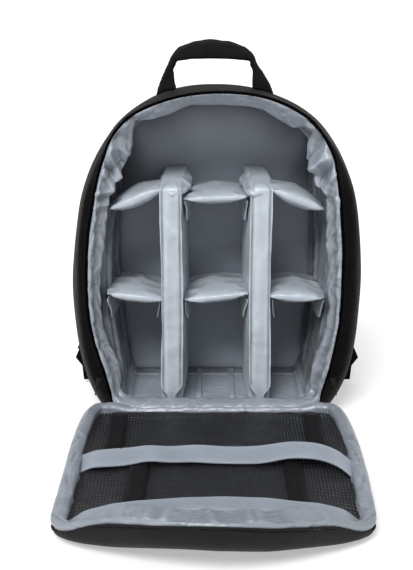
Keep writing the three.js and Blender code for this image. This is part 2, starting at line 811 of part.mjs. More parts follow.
// The webbing from the buckle round the body's corner to the wing.
function strapWebbing(side) {
  const start = buckleCentre(side).add(new THREE.Vector3(0, 0, -buckleHeight / 2 - clearance));
  const seat = clearance + webbingThickness / 2;
  const end = new THREE.Vector3(side * (wingReach - webbingWidth * 0.42), wingBackY + seat, wingHeight * 0.52);
  const points = [
    start,
    start.clone().lerp(end, 0.33).setY(start.y),
    start.clone().lerp(end, 0.72).setY(THREE.MathUtils.lerp(start.y, end.y, 0.35)),
    end,
  ];
  const from = new THREE.Vector3(side, 0, 0);
  const to = new THREE.Vector3(side, 0, 1);
  return strap({
    curve: new THREE.CatmullRomCurve3(points),
    width: () => webbingWidth,
    thickness: webbingThickness,
    across: (t) => from.clone().lerp(to, t),
    along: 8,
    wide: 1,
  });
}

// The sewn wing that carries the webbing, seen from the front as a pointed tab. Shares are of its reach and height.
const wingOutline = [
  { x: 0.8, z: 1 },
  { x: 0.955, z: 0.8 },
  { x: 1, z: 0.52 },
  { x: 0.955, z: 0.36 },
  { x: 0.945, z: 0.08 },
  { x: 0.8, z: 0.08 },
];

function strapWing(side) {
  const shape = new THREE.Shape(wingOutline.map((p) => new THREE.Vector2(side * p.x * wingReach, p.z * wingHeight)));
  const geometry = new THREE.ExtrudeGeometry(shape, { depth: wingThickness, bevelEnabled: false });
  geometry.rotateX(Math.PI / 2);
  geometry.translate(0, wingBackY, 0);
  return geometryOf(solidOf(geometry).subtract(bodyEnvelope()));
}

// Finishes, from the photograph
const finishes = {
  shellFabric: { color: 0x17171a, roughness: 0.75, metalness: 0 },
  liningFabric: { color: 0x8d949e, roughness: 0.45, metalness: 0 },
  padFabric: { color: 0xa3aab3, roughness: 0.45, metalness: 0 },
  meshNet: { color: 0x2b2b2e, roughness: 0.8, metalness: 0 },
  bandFabric: { color: 0x98a0ac, roughness: 0.5, metalness: 0 },
  webbing: { color: 0x141416, roughness: 0.7, metalness: 0 },
  plastic: { color: 0x101012, roughness: 0.35, metalness: 0 },
};
const materials = Object.fromEntries(
  Object.entries(finishes).map(([name, finish]) => [name, new THREE.MeshStandardMaterial(finish)]),
);

const backpack = new THREE.Group();

function piece(name, geometry, material) {
  const mesh = new THREE.Mesh(geometry, materials[material]);
  mesh.name = name;
  backpack.add(mesh);
}

piece("shell_gusset", shellGusset(), "shellFabric");
piece("back_panel", backPanel(), "shellFabric");
piece("lining_gusset", liningGusset(), "liningFabric");
piece("lining_back", liningBackPanel(), "liningFabric");
piece("zip_tape_body", bodyZipTape(), "webbing");
piece("carry_handle", carryHandle(), "webbing");

piece("flap_shell", flapShell(), "shellFabric");
piece("flap_lining", flapLining(), "liningFabric");
piece("zip_tape_flap", flapZipTape(), "webbing");
piece("mesh_pocket_lower", meshPocket(pockets.lower), "meshNet");
piece("mesh_pocket_upper", meshPocket(pockets.upper), "meshNet");
piece("pocket_band_lower", pocketBand(pockets.lower), "bandFabric");
piece("pocket_band_upper", pocketBand(pockets.upper), "bandFabric");

piece("shelf_middle_centre", centreShelf(middleShelfHeight, shelfThickness), "padFabric");
piece("shelf_upper_centre", centreShelf(upperShelfHeight, shelfThickness), "padFabric");

[["left", -1], ["right", 1]].forEach(([name, side]) => {
  const innerFace = (depth) => side * dividerFace(depth, -1);
  const outerFace = (depth) => side * dividerFace(depth, 1);
  const wallFace = (depth) => side * cavityHalfWidth(middleShelfHeight - tabLength / 2, depth);
  const underMiddle = middleShelfHeight - shelfThickness / 4;
  const underUpper = upperShelfHeight - shelfThickness / 4;
  const upperInner = dividerTop - upperShelfThickness / 4;

  piece(`zip_slider_${name}`, zipSlider(side), "plastic");
  piece(`divider_${name}`, divider(side), "padFabric");
  piece(`shelf_middle_${name}`, sideShelf(side, middleShelfHeight, middleShelfHeight, shelfThickness), "padFabric");
  piece(`shelf_upper_${name}`, sideShelf(side, upperInner, upperInner - sideShelfDrop, upperShelfThickness), "padFabric");
  piece(`tab_upper_centre_${name}`, shelfTab(innerFace, -side, underUpper), "padFabric");
  piece(`tab_middle_centre_${name}`, shelfTab(innerFace, -side, underMiddle), "padFabric");
  piece(`tab_middle_${name}_inner`, shelfTab(outerFace, side, underMiddle), "padFabric");
  piece(`tab_middle_${name}_outer`, shelfTab(wallFace, -side, underMiddle), "padFabric");
  piece(`tab_folded_${name}`, foldedTab(side), "padFabric");
  piece(`floor_tape_${name}`, floorTape(side), "liningFabric");

  const lowerTape = side * (flapHingeWidth / 2 - lowerTapeInset);
  const upperTape = side * (flapHingeWidth / 2 - upperTapeInset);
  piece(`mesh_tape_lower_${name}`, meshTape(pockets.lower, lowerTape, 0.3, 0.97), "webbing");
  piece(`mesh_tape_upper_${name}`, meshTape(pockets.upper, upperTape, 0.3, 0.97), "webbing");

  piece(`shoulder_strap_${name}`, shoulderStrap(side), "shellFabric");
  piece(`strap_buckle_${name}`, strapBuckle(side), "plastic");
  piece(`strap_webbing_${name}`, strapWebbing(side), "webbing");
  piece(`strap_wing_${name}`, strapWing(side), "shellFabric");
});

export default backpack;
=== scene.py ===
import json
import math
import time

import bpy
import bmesh
import numpy as np
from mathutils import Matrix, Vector, noise
from mathutils.bvhtree import BVHTree

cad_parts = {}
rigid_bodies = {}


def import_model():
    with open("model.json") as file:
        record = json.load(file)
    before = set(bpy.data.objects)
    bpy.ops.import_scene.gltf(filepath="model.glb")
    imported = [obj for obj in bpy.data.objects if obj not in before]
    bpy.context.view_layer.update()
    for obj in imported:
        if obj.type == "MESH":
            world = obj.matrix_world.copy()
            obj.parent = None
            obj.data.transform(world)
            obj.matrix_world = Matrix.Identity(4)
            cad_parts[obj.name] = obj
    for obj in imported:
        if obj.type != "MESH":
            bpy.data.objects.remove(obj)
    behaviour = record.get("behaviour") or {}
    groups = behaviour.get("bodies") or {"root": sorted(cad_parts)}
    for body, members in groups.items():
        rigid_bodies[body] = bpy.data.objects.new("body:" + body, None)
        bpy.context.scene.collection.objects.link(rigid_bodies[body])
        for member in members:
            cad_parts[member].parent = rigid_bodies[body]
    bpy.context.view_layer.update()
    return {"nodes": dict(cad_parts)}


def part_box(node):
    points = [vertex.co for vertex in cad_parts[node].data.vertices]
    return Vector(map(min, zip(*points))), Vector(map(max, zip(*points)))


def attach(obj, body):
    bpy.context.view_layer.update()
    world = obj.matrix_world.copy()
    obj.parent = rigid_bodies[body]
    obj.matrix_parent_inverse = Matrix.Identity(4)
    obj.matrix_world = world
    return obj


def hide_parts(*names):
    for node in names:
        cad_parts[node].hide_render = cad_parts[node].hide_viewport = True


scene = bpy.context.scene
for leftover in list(bpy.data.objects):
    bpy.data.objects.remove(leftover)

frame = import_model()
cadNodes = frame["nodes"]
sides = {"left": -1, "right": 1}

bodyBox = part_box("shell_gusset")
openingY = bodyBox[0].y          # the opening plane, which faces the camera
archCentre = 0.15                # height of the middle of the arch, for going round it
startTime = time.time()


def report(stage):
    print(f"{stage} at {time.time() - startTime:.0f} s")


# Camera, floor and light

cameraValues = {"lens": 91.6, "place": (-0.0085, -1.298, 0.519), "lookDown": 17.3}
studioValues = {
    "floorSize": 12.0, "skyStrength": 0.62, "sunStrength": 3.1, "sunWidth": 26.0,
    "sunFrom": (-0.3, -1.0, 1.15),
}


def makeCamera(values):
    camera = bpy.data.objects.new("camera", bpy.data.cameras.new("camera"))
    camera.data.lens = values["lens"]
    camera.data.sensor_width = 36
    camera.location = values["place"]
    camera.rotation_euler = (math.radians(90 - values["lookDown"]), 0, 0)
    camera.data.clip_start = 0.05
    scene.collection.objects.link(camera)
    scene.camera = camera


def makeStudio(values):
    world = bpy.data.worlds.new("studio")
    scene.world = world
    world.use_nodes = True
    background = world.node_tree.nodes["Background"]
    background.inputs["Color"].default_value = (1, 1, 1, 1)
    background.inputs["Strength"].default_value = values["skyStrength"]
    sun = bpy.data.lights.new("softSun", "SUN")
    sun.energy = values["sunStrength"]
    sun.angle = math.radians(values["sunWidth"])
    holder = bpy.data.objects.new("softSun", sun)
    holder.rotation_euler = (-Vector(values["sunFrom"])).to_track_quat("-Z", "Y").to_euler()
    scene.collection.objects.link(holder)
    shape = bmesh.new()
    bmesh.ops.create_grid(shape, x_segments=1, y_segments=1, size=values["floorSize"] / 2)
    floor = meshObject("floor", shape)
    floor.data.materials.append(paperMaterial())
    scene.view_settings.view_transform = "Standard"


# Mesh helpers

def meshObject(name, shape):
    mesh = bpy.data.meshes.new(name)
    shape.to_mesh(mesh)
    shape.free()
    piece = bpy.data.objects.new(name, mesh)
    scene.collection.objects.link(piece)
    return piece


def nodeCopy(node, name, quads=True):
    shape = bmesh.new()
    shape.from_mesh(cadNodes[node].data)
    bmesh.ops.remove_doubles(shape, verts=shape.verts, dist=0.00002)
    if quads:
        bmesh.ops.join_triangles(
            shape, faces=shape.faces, angle_face_threshold=0.7, angle_shape_threshold=1.2)
    return meshObject(name, shape)


def gridPiece(name, rows, closed=False, capped=False):
    # a surface through rows of points, closed round each row if it is a tube
    shape = bmesh.new()
    made = [[shape.verts.new(point) for point in row] for row in rows]
    for before, after in zip(made, made[1:]):
        count = len(before)
        for i in range(count if closed else count - 1):
            j = (i + 1) % count
            shape.faces.new((before[i], before[j], after[j], after[i]))
    if capped:
        shape.faces.new(made[0])
        shape.faces.new(list(reversed(made[-1])))
    bmesh.ops.recalc_face_normals(shape, faces=shape.faces)
    return meshObject(name, shape)


def edited(piece, work):
    shape = bmesh.new()
    shape.from_mesh(piece.data)
    work(shape)
    shape.to_mesh(piece.data)
    shape.free()


def cutFiner(piece, cuts):
    edited(piece, lambda shape: bmesh.ops.subdivide_edges(
        shape, edges=shape.edges, cuts=cuts, use_grid_fill=True))


def settle(piece):
    # puts what the modifiers make into the mesh and takes them off
    graph = bpy.context.evaluated_depsgraph_get()
    made = bpy.data.meshes.new_from_object(piece.evaluated_get(graph), depsgraph=graph)
    old = piece.data
    piece.modifiers.clear()
    piece.data = made
    bpy.data.meshes.remove(old)


def subdivided(piece, levels, live=False, simple=False):
    modifier = piece.modifiers.new("smooth", "SUBSURF")
    modifier.levels = modifier.render_levels = levels
    modifier.subdivision_type = "SIMPLE" if simple else "CATMULL_CLARK"
    if not live:
        settle(piece)


def smoothed(piece, rounds):
    def work(shape):
        for _ in range(rounds):
            bmesh.ops.smooth_vert(
                shape, verts=shape.verts, factor=0.5, use_axis_x=True, use_axis_y=True, use_axis_z=True)
    edited(piece, work)


def remeshed(piece, voxel, rounds=2):
    modifier = piece.modifiers.new("remesh", "REMESH")
    modifier.mode = "VOXEL"
    modifier.voxel_size = voxel
    settle(piece)
    smoothed(piece, rounds)


def coordinates(piece):
    found = np.empty(len(piece.data.vertices) * 3)
    piece.data.vertices.foreach_get("co", found)
    return found.reshape(-1, 3)


def placeCoordinates(piece, places):
    piece.data.vertices.foreach_set("co", np.asarray(places).ravel())
    piece.data.update()


def puffed(piece, values, pinned=None):
    # blows the piece up as sewn cloth with air behind it, and caps how far any point goes
    before = coordinates(piece)
    cloth = piece.modifiers.new("cloth", "CLOTH")
    settings = cloth.settings
    settings.quality = 5
    settings.mass = 0.2
    settings.use_pressure = True
    settings.uniform_pressure_force = values["pressure"]
    settings.shrink_min = -values["slack"]
    settings.tension_stiffness = 20
    settings.compression_stiffness = 20
    settings.shear_stiffness = 8
    settings.bending_stiffness = values["bending"]
    settings.effector_weights.gravity = 0
    cloth.collision_settings.use_collision = False
    if pinned is not None:
        group = piece.vertex_groups.new(name="pinned")
        group.add([int(i) for i in pinned], 1.0, "REPLACE")
        settings.vertex_group_mass = "pinned"
    for step in range(1, 21):
        scene.frame_set(step)
    settle(piece)
    scene.frame_set(1)
    moves = coordinates(piece) - before
    lengths = np.linalg.norm(moves, axis=1, keepdims=True)
    placeCoordinates(piece, before + moves * np.minimum(1.0, values["cap"] / np.maximum(lengths, 1e-9)))


def moved(piece, shift):
    # shift(place, normal) gives a vector
    mesh = piece.data
    normals = [v.normal.copy() for v in mesh.vertices]
    for vertex, normal in zip(mesh.vertices, normals):
        vertex.co = vertex.co + shift(vertex.co, normal)
    mesh.update()


def paintFoldShade(piece, rounds=3, strength=7.0):
    # writes how hollow the surface is at each point, 1 in a valley and -1 on a ridge; the cloth material
    # paints shade from it, darker in valleys and lighter on ridges
    mesh = piece.data
    places = coordinates(piece)
    edges = np.empty(len(mesh.edges) * 2, dtype=np.int64)
    mesh.edges.foreach_get("vertices", edges)
    first, second = edges.reshape(-1, 2).T
    normals = np.array([v.normal[:] for v in mesh.vertices])
    ends = np.concatenate([first, second])
    others = np.concatenate([second, first])
    counts = np.maximum(np.bincount(ends, minlength=len(places)), 1)

    def around(values):
        return np.bincount(ends, weights=values[others], minlength=len(places)) / counts

    middle = np.stack([around(places[:, axis]) for axis in range(3)], axis=1)
    lengths = np.linalg.norm(places[first] - places[second], axis=1).mean()
    hollow = ((middle - places) * normals).sum(axis=1) / lengths
    for _ in range(rounds):
        hollow = 0.5 * hollow + 0.5 * around(hollow)
    attribute = mesh.attributes.new("fold", "FLOAT", "POINT")
    attribute.data.foreach_set("value", np.clip(hollow * strength, -1, 1))


def finished(piece, material, slot, *replaced):
    piece.data.materials.clear()
    piece.data.materials.append(material)
    piece.data.polygons.foreach_set("use_smooth", [True] * len(piece.data.polygons))
    piece.data.update()
    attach(piece, "root")
    if replaced:
        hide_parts(*replaced)


# Shapes of folds

def smoothStep(low, high, value):
    share = min(1.0, max(0.0, (value - low) / (high - low)))
    return share * share * (3 - 2 * share)


def bell(value):
    return math.exp(-value * value)


def ripple(place, size, seed=0.0):
    return noise.noise(Vector(place) / size + Vector((seed, seed * 1.7, -seed)))


def crumple(place, size, seed=0.0):
    # ridges like those of crushed cloth, about 0 on average
    first = 1 - abs(noise.noise(Vector(place) / size + Vector((seed, 3.1, seed * 2))))
    second = 1 - abs(noise.noise(Vector(place) / (size * 0.45) + Vector((5.3, seed, 1.9))))
    return 0.7 * first ** 3 + 0.3 * second ** 2 - 0.6


def signedPower(value, power):
    return math.copysign(abs(value) ** power, value)


def outward(place):
    # the way out from the middle of the arch, seen from the front
    return Vector((place.x, 0, max(0.0, place.z - archCentre) + 0.001)).normalized()


# Materials. Each group is an effect that several cloths share.

def newGroup(name, inputs, outputs):
    group = bpy.data.node_groups.new(name, "ShaderNodeTree")
    for label, kind, value in inputs:
        group.interface.new_socket(name=label, in_out="INPUT", socket_type=kind).default_value = value
    for label, kind in outputs:
        group.interface.new_socket(name=label, in_out="OUTPUT", socket_type=kind)
    return group, group.nodes.new("NodeGroupInput"), group.nodes.new("NodeGroupOutput")


def mathNode(tree, operation, *values):
    node = tree.nodes.new("ShaderNodeMath")
    node.operation = operation
    for socket, value in zip(node.inputs, values):
        if isinstance(value, (int, float)):
            socket.default_value = value
        else:
            tree.links.new(value, socket)
    return node.outputs[0]


def objectPlace(tree):
    return tree.nodes.new("ShaderNodeTexCoord").outputs["Object"]


def scaledPlace(tree, place, size):
    scale = tree.nodes.new("ShaderNodeVectorMath")
    scale.operation = "SCALE"
    tree.links.new(place, scale.inputs[0])
    tree.links.new(mathNode(tree, "DIVIDE", 1.0, size), scale.inputs["Scale"])
    return scale.outputs[0]


def noiseNode(tree, place, scale, detail, kind="FBM"):
    node = tree.nodes.new("ShaderNodeTexNoise")
    node.noise_type = kind
    node.inputs["Scale"].default_value = scale
    node.inputs["Detail"].default_value = detail
    tree.links.new(place, node.inputs["Vector"])
    return node.outputs["Fac"]


def makeWeaveGroup():
    group, inside, outside = newGroup(
        "threadWeave", [("Thread", "NodeSocketFloat", 0.0006)], [("Height", "NodeSocketFloat")])
    place = scaledPlace(group, objectPlace(group), inside.outputs["Thread"])
    split = group.nodes.new("ShaderNodeSeparateXYZ")
    group.links.new(place, split.inputs[0])
    waves = [mathNode(group, "SINE", mathNode(group, "MULTIPLY", axis, math.pi)) for axis in split.outputs]
    total = mathNode(group, "ADD", mathNode(group, "ADD", waves[0], waves[1]), waves[2])
    group.links.new(mathNode(group, "MULTIPLY", total, 0.33), outside.inputs["Height"])
    return group


def makeCreaseGroup():
    # soft dents with sharper creases between them
    group, inside, outside = newGroup(
        "clothCrease",
        [("Size", "NodeSocketFloat", 0.02), ("Sharpness", "NodeSocketFloat", 0.6)],
        [("Height", "NodeSocketFloat")])
    place = scaledPlace(group, objectPlace(group), inside.outputs["Size"])
    drift = group.nodes.new("ShaderNodeTexNoise")
    drift.inputs["Scale"].default_value = 0.8
    drift.inputs["Detail"].default_value = 2
    group.links.new(place, drift.inputs["Vector"])
    bent = group.nodes.new("ShaderNodeVectorMath")
    bent.operation = "MULTIPLY_ADD"
    bent.inputs[1].default_value = (0.9, 0.9, 0.9)
    group.links.new(drift.outputs["Color"], bent.inputs[0])
    group.links.new(place, bent.inputs[2])
    folds = group.nodes.new("ShaderNodeTexVoronoi")
    folds.feature = "SMOOTH_F1"
    folds.inputs["Scale"].default_value = 1.0
    folds.inputs["Smoothness"].default_value = 0.35
    group.links.new(bent.outputs[0], folds.inputs["Vector"])
    fine = noiseNode(group, bent.outputs[0], 1.6, 3, "RIDGED_MULTIFRACTAL")
    both = group.nodes.new("ShaderNodeMix")
    both.data_type = "FLOAT"
    group.links.new(inside.outputs["Sharpness"], both.inputs["Factor"])
    group.links.new(folds.outputs["Distance"], both.inputs[2])
    group.links.new(fine, both.inputs[3])
    group.links.new(both.outputs[0], outside.inputs["Height"])
    return group


def makeTintGroup():
    group, inside, outside = newGroup(
        "clothTint",
        [("Light", "NodeSocketColor", (0.5, 0.5, 0.5, 1)), ("Dark", "NodeSocketColor", (0.4, 0.4, 0.4, 1)),
         ("Size", "NodeSocketFloat", 0.05), ("Thread", "NodeSocketFloat", 0.0006)],
        [("Colour", "NodeSocketColor"), ("Mask", "NodeSocketFloat")])
    patches = noiseNode(group, scaledPlace(group, objectPlace(group), inside.outputs["Size"]), 1.0, 4)
    speck = noiseNode(group, scaledPlace(group, objectPlace(group), inside.outputs["Thread"]), 0.6, 1)
    amount = mathNode(group, "MULTIPLY_ADD", patches, 0.8, mathNode(group, "MULTIPLY", speck, 0.3))
    mixed = group.nodes.new("ShaderNodeMix")
    mixed.data_type = "RGBA"
    group.links.new(amount, mixed.inputs["Factor"])
    group.links.new(inside.outputs["Dark"], mixed.inputs[6])
    group.links.new(inside.outputs["Light"], mixed.inputs[7])
    group.links.new(mixed.outputs[2], outside.inputs["Colour"])
    group.links.new(amount, outside.inputs["Mask"])
    return group


threadWeave = makeWeaveGroup()
clothCrease = makeCreaseGroup()
clothTint = makeTintGroup()


def placed(tree, group, **values):
    node = tree.nodes.new("ShaderNodeGroup")
    node.node_tree = group
    for label, value in values.items():
        node.inputs[label].default_value = value
    return node


def newMaterial(name):
    material = bpy.data.materials.new(name)
    material.use_nodes = True
    return material, material.node_tree, material.node_tree.nodes["Principled BSDF"]


def bumpNode(tree, height, distance, before=None):
    bump = tree.nodes.new("ShaderNodeBump")
    bump.inputs["Distance"].default_value = distance
    bump.inputs["Strength"].default_value = 1.0
    tree.links.new(height, bump.inputs["Height"])
    if before is not None:
        tree.links.new(before, bump.inputs["Normal"])
    return bump.outputs["Normal"]


def clothMaterial(name, values):
    material, tree, shader = newMaterial(name)
    shader.inputs["Sheen Weight"].default_value = values["sheen"]
    shader.inputs["Sheen Roughness"].default_value = 0.4
    shader.inputs["Specular IOR Level"].default_value = values["specular"]
    tint = placed(tree, clothTint, Light=(*values["light"], 1), Dark=(*values["dark"], 1),
                  Size=values["patchSize"], Thread=values["thread"])
    # painted shade and light: the base colour is darkened in the mesh's valleys ('fold') and in the crease
    # pattern's dents and lightened on ridges, darkened where the 'deep' attribute paints shade and
    # lightened where it is below 0
    fold = tree.nodes.new("ShaderNodeAttribute")
    fold.attribute_name = "fold"
    crease = placed(tree, clothCrease, Size=values["creaseSize"], Sharpness=values["sharpness"])
    even = 1.0 - values["creaseShade"] * 0.5
    shade = mathNode(tree, "MULTIPLY_ADD", fold.outputs["Fac"], -values["foldShade"], even)
    shade = mathNode(tree, "MULTIPLY_ADD", crease.outputs["Height"], values["creaseShade"], shade)
    deep = tree.nodes.new("ShaderNodeAttribute")
    deep.attribute_name = "deep"
    paintedDepthShade = mathNode(tree, "MULTIPLY_ADD", deep.outputs["Fac"], -values["deepShade"], 1.0)
    shade = mathNode(tree, "MULTIPLY", shade, paintedDepthShade)
    shaded = tree.nodes.new("ShaderNodeVectorMath")
    shaded.operation = "SCALE"
    tree.links.new(tint.outputs["Colour"], shaded.inputs[0])
    tree.links.new(shade, shaded.inputs["Scale"])
    tree.links.new(shaded.outputs[0], shader.inputs["Base Color"])
    rough = mathNode(tree, "MULTIPLY_ADD", tint.outputs["Mask"], 0.12, values["roughness"] - 0.06)
    tree.links.new(rough, shader.inputs["Roughness"])
    weave = placed(tree, threadWeave, Thread=values["thread"])
    creased = bumpNode(tree, crease.outputs["Height"], values["creaseDepth"])
    woven = bumpNode(tree, weave.outputs["Height"], values["weaveDepth"], creased)
    tree.links.new(woven, shader.inputs["Normal"])
    return material


def latticeNode(tree, split, drift, pitch, squash):
    waves = []
    for lean in (1, -1):
        both = mathNode(tree, "MULTIPLY_ADD", split.outputs["X"], lean, mathNode(
            tree, "MULTIPLY", split.outputs["Y"], squash))
        turned = mathNode(tree, "ADD", mathNode(tree, "DIVIDE", both, pitch), drift)
        waves.append(mathNode(tree, "SINE", mathNode(tree, "MULTIPLY", turned, math.pi * 2)))
    return mathNode(tree, "MULTIPLY", waves[0], waves[1])


def netMaterial(values):
    # a fine lattice of crossing threads, with larger holes towards the sides, where the net is stretched
    material, tree, shader = newMaterial("blackNet")
    shader.inputs["Base Color"].default_value = (*values["colour"], 1)
    shader.inputs["Roughness"].default_value = 0.55
    shader.inputs["Specular IOR Level"].default_value = 0.35
    place = objectPlace(tree)
    split = tree.nodes.new("ShaderNodeSeparateXYZ")
    tree.links.new(place, split.inputs[0])
    patches = noiseNode(tree, place, values["stretchScale"], 2)
    drift = mathNode(tree, "MULTIPLY", patches, values["drift"])
    fine = latticeNode(tree, split, drift, values["finePitch"], values["squash"])
    wide = latticeNode(tree, split, drift, values["widePitch"], values["squash"])
    away = mathNode(tree, "MULTIPLY", mathNode(tree, "ABSOLUTE", split.outputs["X"]), values["sideStretch"])
    stretched = mathNode(tree, "GREATER_THAN", mathNode(tree, "ADD", away, patches), values["stretchLimit"])
    thin = mathNode(tree, "LESS_THAN", fine, values["fineClosed"])
    open_ = mathNode(tree, "LESS_THAN", wide, values["wideClosed"])
    mixed = tree.nodes.new("ShaderNodeMix")
    mixed.data_type = "FLOAT"
    tree.links.new(stretched, mixed.inputs["Factor"])
    tree.links.new(thin, mixed.inputs[2])
    tree.links.new(open_, mixed.inputs[3])
    tree.links.new(mixed.outputs[0], shader.inputs["Alpha"])
    return material


def plasticMaterial():
    material, tree, shader = newMaterial("blackPlastic")
    grain = noiseNode(tree, objectPlace(tree), 900, 2)
    tree.links.new(bumpNode(tree, grain, 0.00008), shader.inputs["Normal"])
    shader.inputs["Base Color"].default_value = (0.006, 0.006, 0.0065, 1)
    shader.inputs["Roughness"].default_value = 0.45
    shader.inputs["Specular IOR Level"].default_value = 0.2
    return material


def paperMaterial():
    material, tree, shader = newMaterial("paleFloor")
    shader.inputs["Base Color"].default_value = (0.6, 0.6, 0.6, 1)
    shader.inputs["Emission Color"].default_value = (1, 1, 1, 1)
    shader.inputs["Emission Strength"].default_value = 0.42
    shader.inputs["Roughness"].default_value = 0.9
    shader.inputs["Specular IOR Level"].default_value = 0.1
    return material


clothDefaults = {
    "patchSize": 0.05, "thread": 0.0007, "roughness": 0.62, "sheen": 0.0, "specular": 0.03,
    "creaseSize": 0.03, "creaseDepth": 0.0018, "sharpness": 0.5, "weaveDepth": 0.00012, "foldShade": 0.3,
    "creaseShade": 0.1, "deepShade": 0.0,
}
satin = {**clothDefaults, "thread": 0.0005, "sheen": 0.1, "weaveDepth": 0.00005}
ribbed = {
    **clothDefaults, "patchSize": 0.03, "thread": 0.0009, "creaseSize": 0.02, "creaseDepth": 0.0006,
    "sharpness": 0.4, "weaveDepth": 0.00015,
}
clothValues = {
    "lining": {
        **satin, "light": (0.255, 0.282, 0.325), "dark": (0.16, 0.18, 0.21), "patchSize": 0.04,
        "roughness": 0.34, "specular": 0.75, "creaseSize": 0.014, "sharpness": 0.75, "foldShade": 0.42,
        "creaseShade": 0.25, "deepShade": 0.3,
    },
    # the back lining is the same cloth as the lining, given lighter colours as painted light on the shaded
    # back wall
    "liningBack": {
        **satin, "light": (0.4, 0.44, 0.505), "dark": (0.25, 0.275, 0.325), "patchSize": 0.08,
        "roughness": 0.42, "specular": 0.5, "creaseSize": 0.05, "creaseDepth": 0.002, "sharpness": 0.3,
        "foldShade": 0.2, "creaseShade": 0.15, "deepShade": 0.72,
    },
    "pad": {
        **satin, "light": (0.355, 0.392, 0.435), "dark": (0.285, 0.318, 0.358), "roughness": 0.36,
        "specular": 0.55, "creaseSize": 0.02, "creaseDepth": 0.0012, "sharpness": 0.7, "foldShade": 0.4,
        "creaseShade": 0.12,
    },
    "band": {
        **clothDefaults, "light": (0.24, 0.27, 0.315), "dark": (0.185, 0.21, 0.248), "patchSize": 0.04,
        "roughness": 0.5, "sheen": 0.15, "specular": 0.4, "creaseDepth": 0.0008, "sharpness": 0.3,
        "weaveDepth": 0.00008,
    },
    # the flap's hull is the same black cloth as the shell, given lighter colours as painted light
    "hull": {
        **clothDefaults, "light": (0.0055, 0.0055, 0.0068), "dark": (0.003, 0.003, 0.0036),
        "roughness": 0.55, "specular": 0.16,
    },
    # the shell is given darker colours than the hull as painted shade
    "shell": {
        **clothDefaults, "light": (0.0022, 0.0022, 0.0025), "dark": (0.001, 0.001, 0.0011), "sheen": 0.05,
    },
    "zip": {
        **ribbed, "light": (0.0012, 0.0012, 0.0014), "dark": (0.0006, 0.0006, 0.0007), "roughness": 0.7,
    },
    "webbing": {
        **ribbed, "light": (0.0045, 0.0045, 0.005), "dark": (0.002, 0.002, 0.0022), "roughness": 0.6,
        "specular": 0.18,
    },
}
materials = {name: clothMaterial(name + "Cloth", values) for name, values in clothValues.items()}
materials["net"] = netMaterial({
    "colour": (0.008, 0.008, 0.009), "finePitch": 0.0027, "widePitch": 0.0056, "squash": 0.55, "drift": 3.0,
    "stretchScale": 14, "sideStretch": 7.5, "stretchLimit": 0.95, "fineClosed": 0.5, "wideClosed": 0.4,
})
materials["plastic"] = plasticMaterial()

makeCamera(cameraValues)
makeStudio(studioValues)
report("materials and studio made")


# Round the body. Angles go round the middle of the arch from the crown, to the right where above 0.

# (angle, reach in mm) of the seam where the grey lining meets the zip
edgePoints = (
    (-2.5, 156), (-2.3, 138), (-2, 124), (-1.75, 116.5), (-1.5, 114), (-1.2, 118), (-1, 125.5), (-0.8, 137),
    (-0.7, 144.5), (-0.6, 150), (-0.5, 153.5), (-0.3, 154.5), (0, 155), (0.3, 156.5), (0.5, 155),
    (0.6, 152.5), (0.8, 142), (0.9, 134), (1.1, 122), (1.3, 115), (1.6, 112), (1.8, 115), (2, 121.5),
    (2.2, 132), (2.35, 143), (2.5, 157))
# (angle, width in mm) of the roll, which is wide on the shoulders and hangs in scallops at the crown
rollPoints = (
    (-2.5, 12), (-2.4, 16), (-2.2, 10), (-1.7, 10.5), (-1.4, 13.5), (-1, 13), (-0.8, 17.5), (-0.7, 23),
    (-0.6, 20), (-0.5, 6.5), (-0.4, 13), (-0.3, 14), (-0.15, 10.5), (0, 12.5), (0.2, 12), (0.4, 15),
    (0.5, 14.5), (0.6, 7), (0.7, 23.5), (0.9, 19), (1, 12), (1.2, 12), (1.4, 14), (1.6, 11.5), (1.8, 12),
    (1.95, 9.5), (2.2, 12), (2.4, 17), (2.5, 13))
# (angle, push in mm) of the shell away from its even shape
shellPoints = (
    (-2.6, 0), (-1.3, -0.8), (-0.9, 0.5), (-0.7, 1.2), (-0.5, 0.3), (0, 0), (0.4, 1), (0.7, 5.5), (0.9, 6),
    (1.1, 5.5), (1.3, 4), (1.6, 2), (2.0, 1.3), (2.3, 1.3), (2.6, 0))


def curve(points, count):
    # a smooth line through the points
    points = np.array([2 * points[0] - points[1], *points, 2 * points[-1] - points[-2]])
    spans = len(points) - 3
    along = np.linspace(0, spans, count)
    first = np.minimum(along.astype(int), spans - 1)
    share = (along - first)[:, None]
    a, b, c, d = points[first], points[first + 1], points[first + 2], points[first + 3]
    return 0.5 * (2 * b + (c - a) * share + (2 * a - 5 * b + 4 * c - d) * share ** 2 + (
        3 * b - a - 3 * c + d) * share ** 3)


edgeAngles, edgeReaches = curve(np.array(edgePoints), 400).T
rollAngles, rollWidths = np.array(rollPoints).T
shellAngles, shellPushes = np.array(shellPoints).T


def archAngle(place):
    return math.atan2(place.x, place.z - archCentre)


def edgeReach(angle):
    return float(np.interp(angle, edgeAngles, edgeReaches)) / 1000


def rollWidth(angle):
    return float(np.interp(angle, rollAngles, rollWidths)) / 1000


# Outer shell of the body, a little fuller on the right, as the photo shows it

shellValues = {"wrinkle": 0.0012, "size": 0.05, "lip": 0.0012}


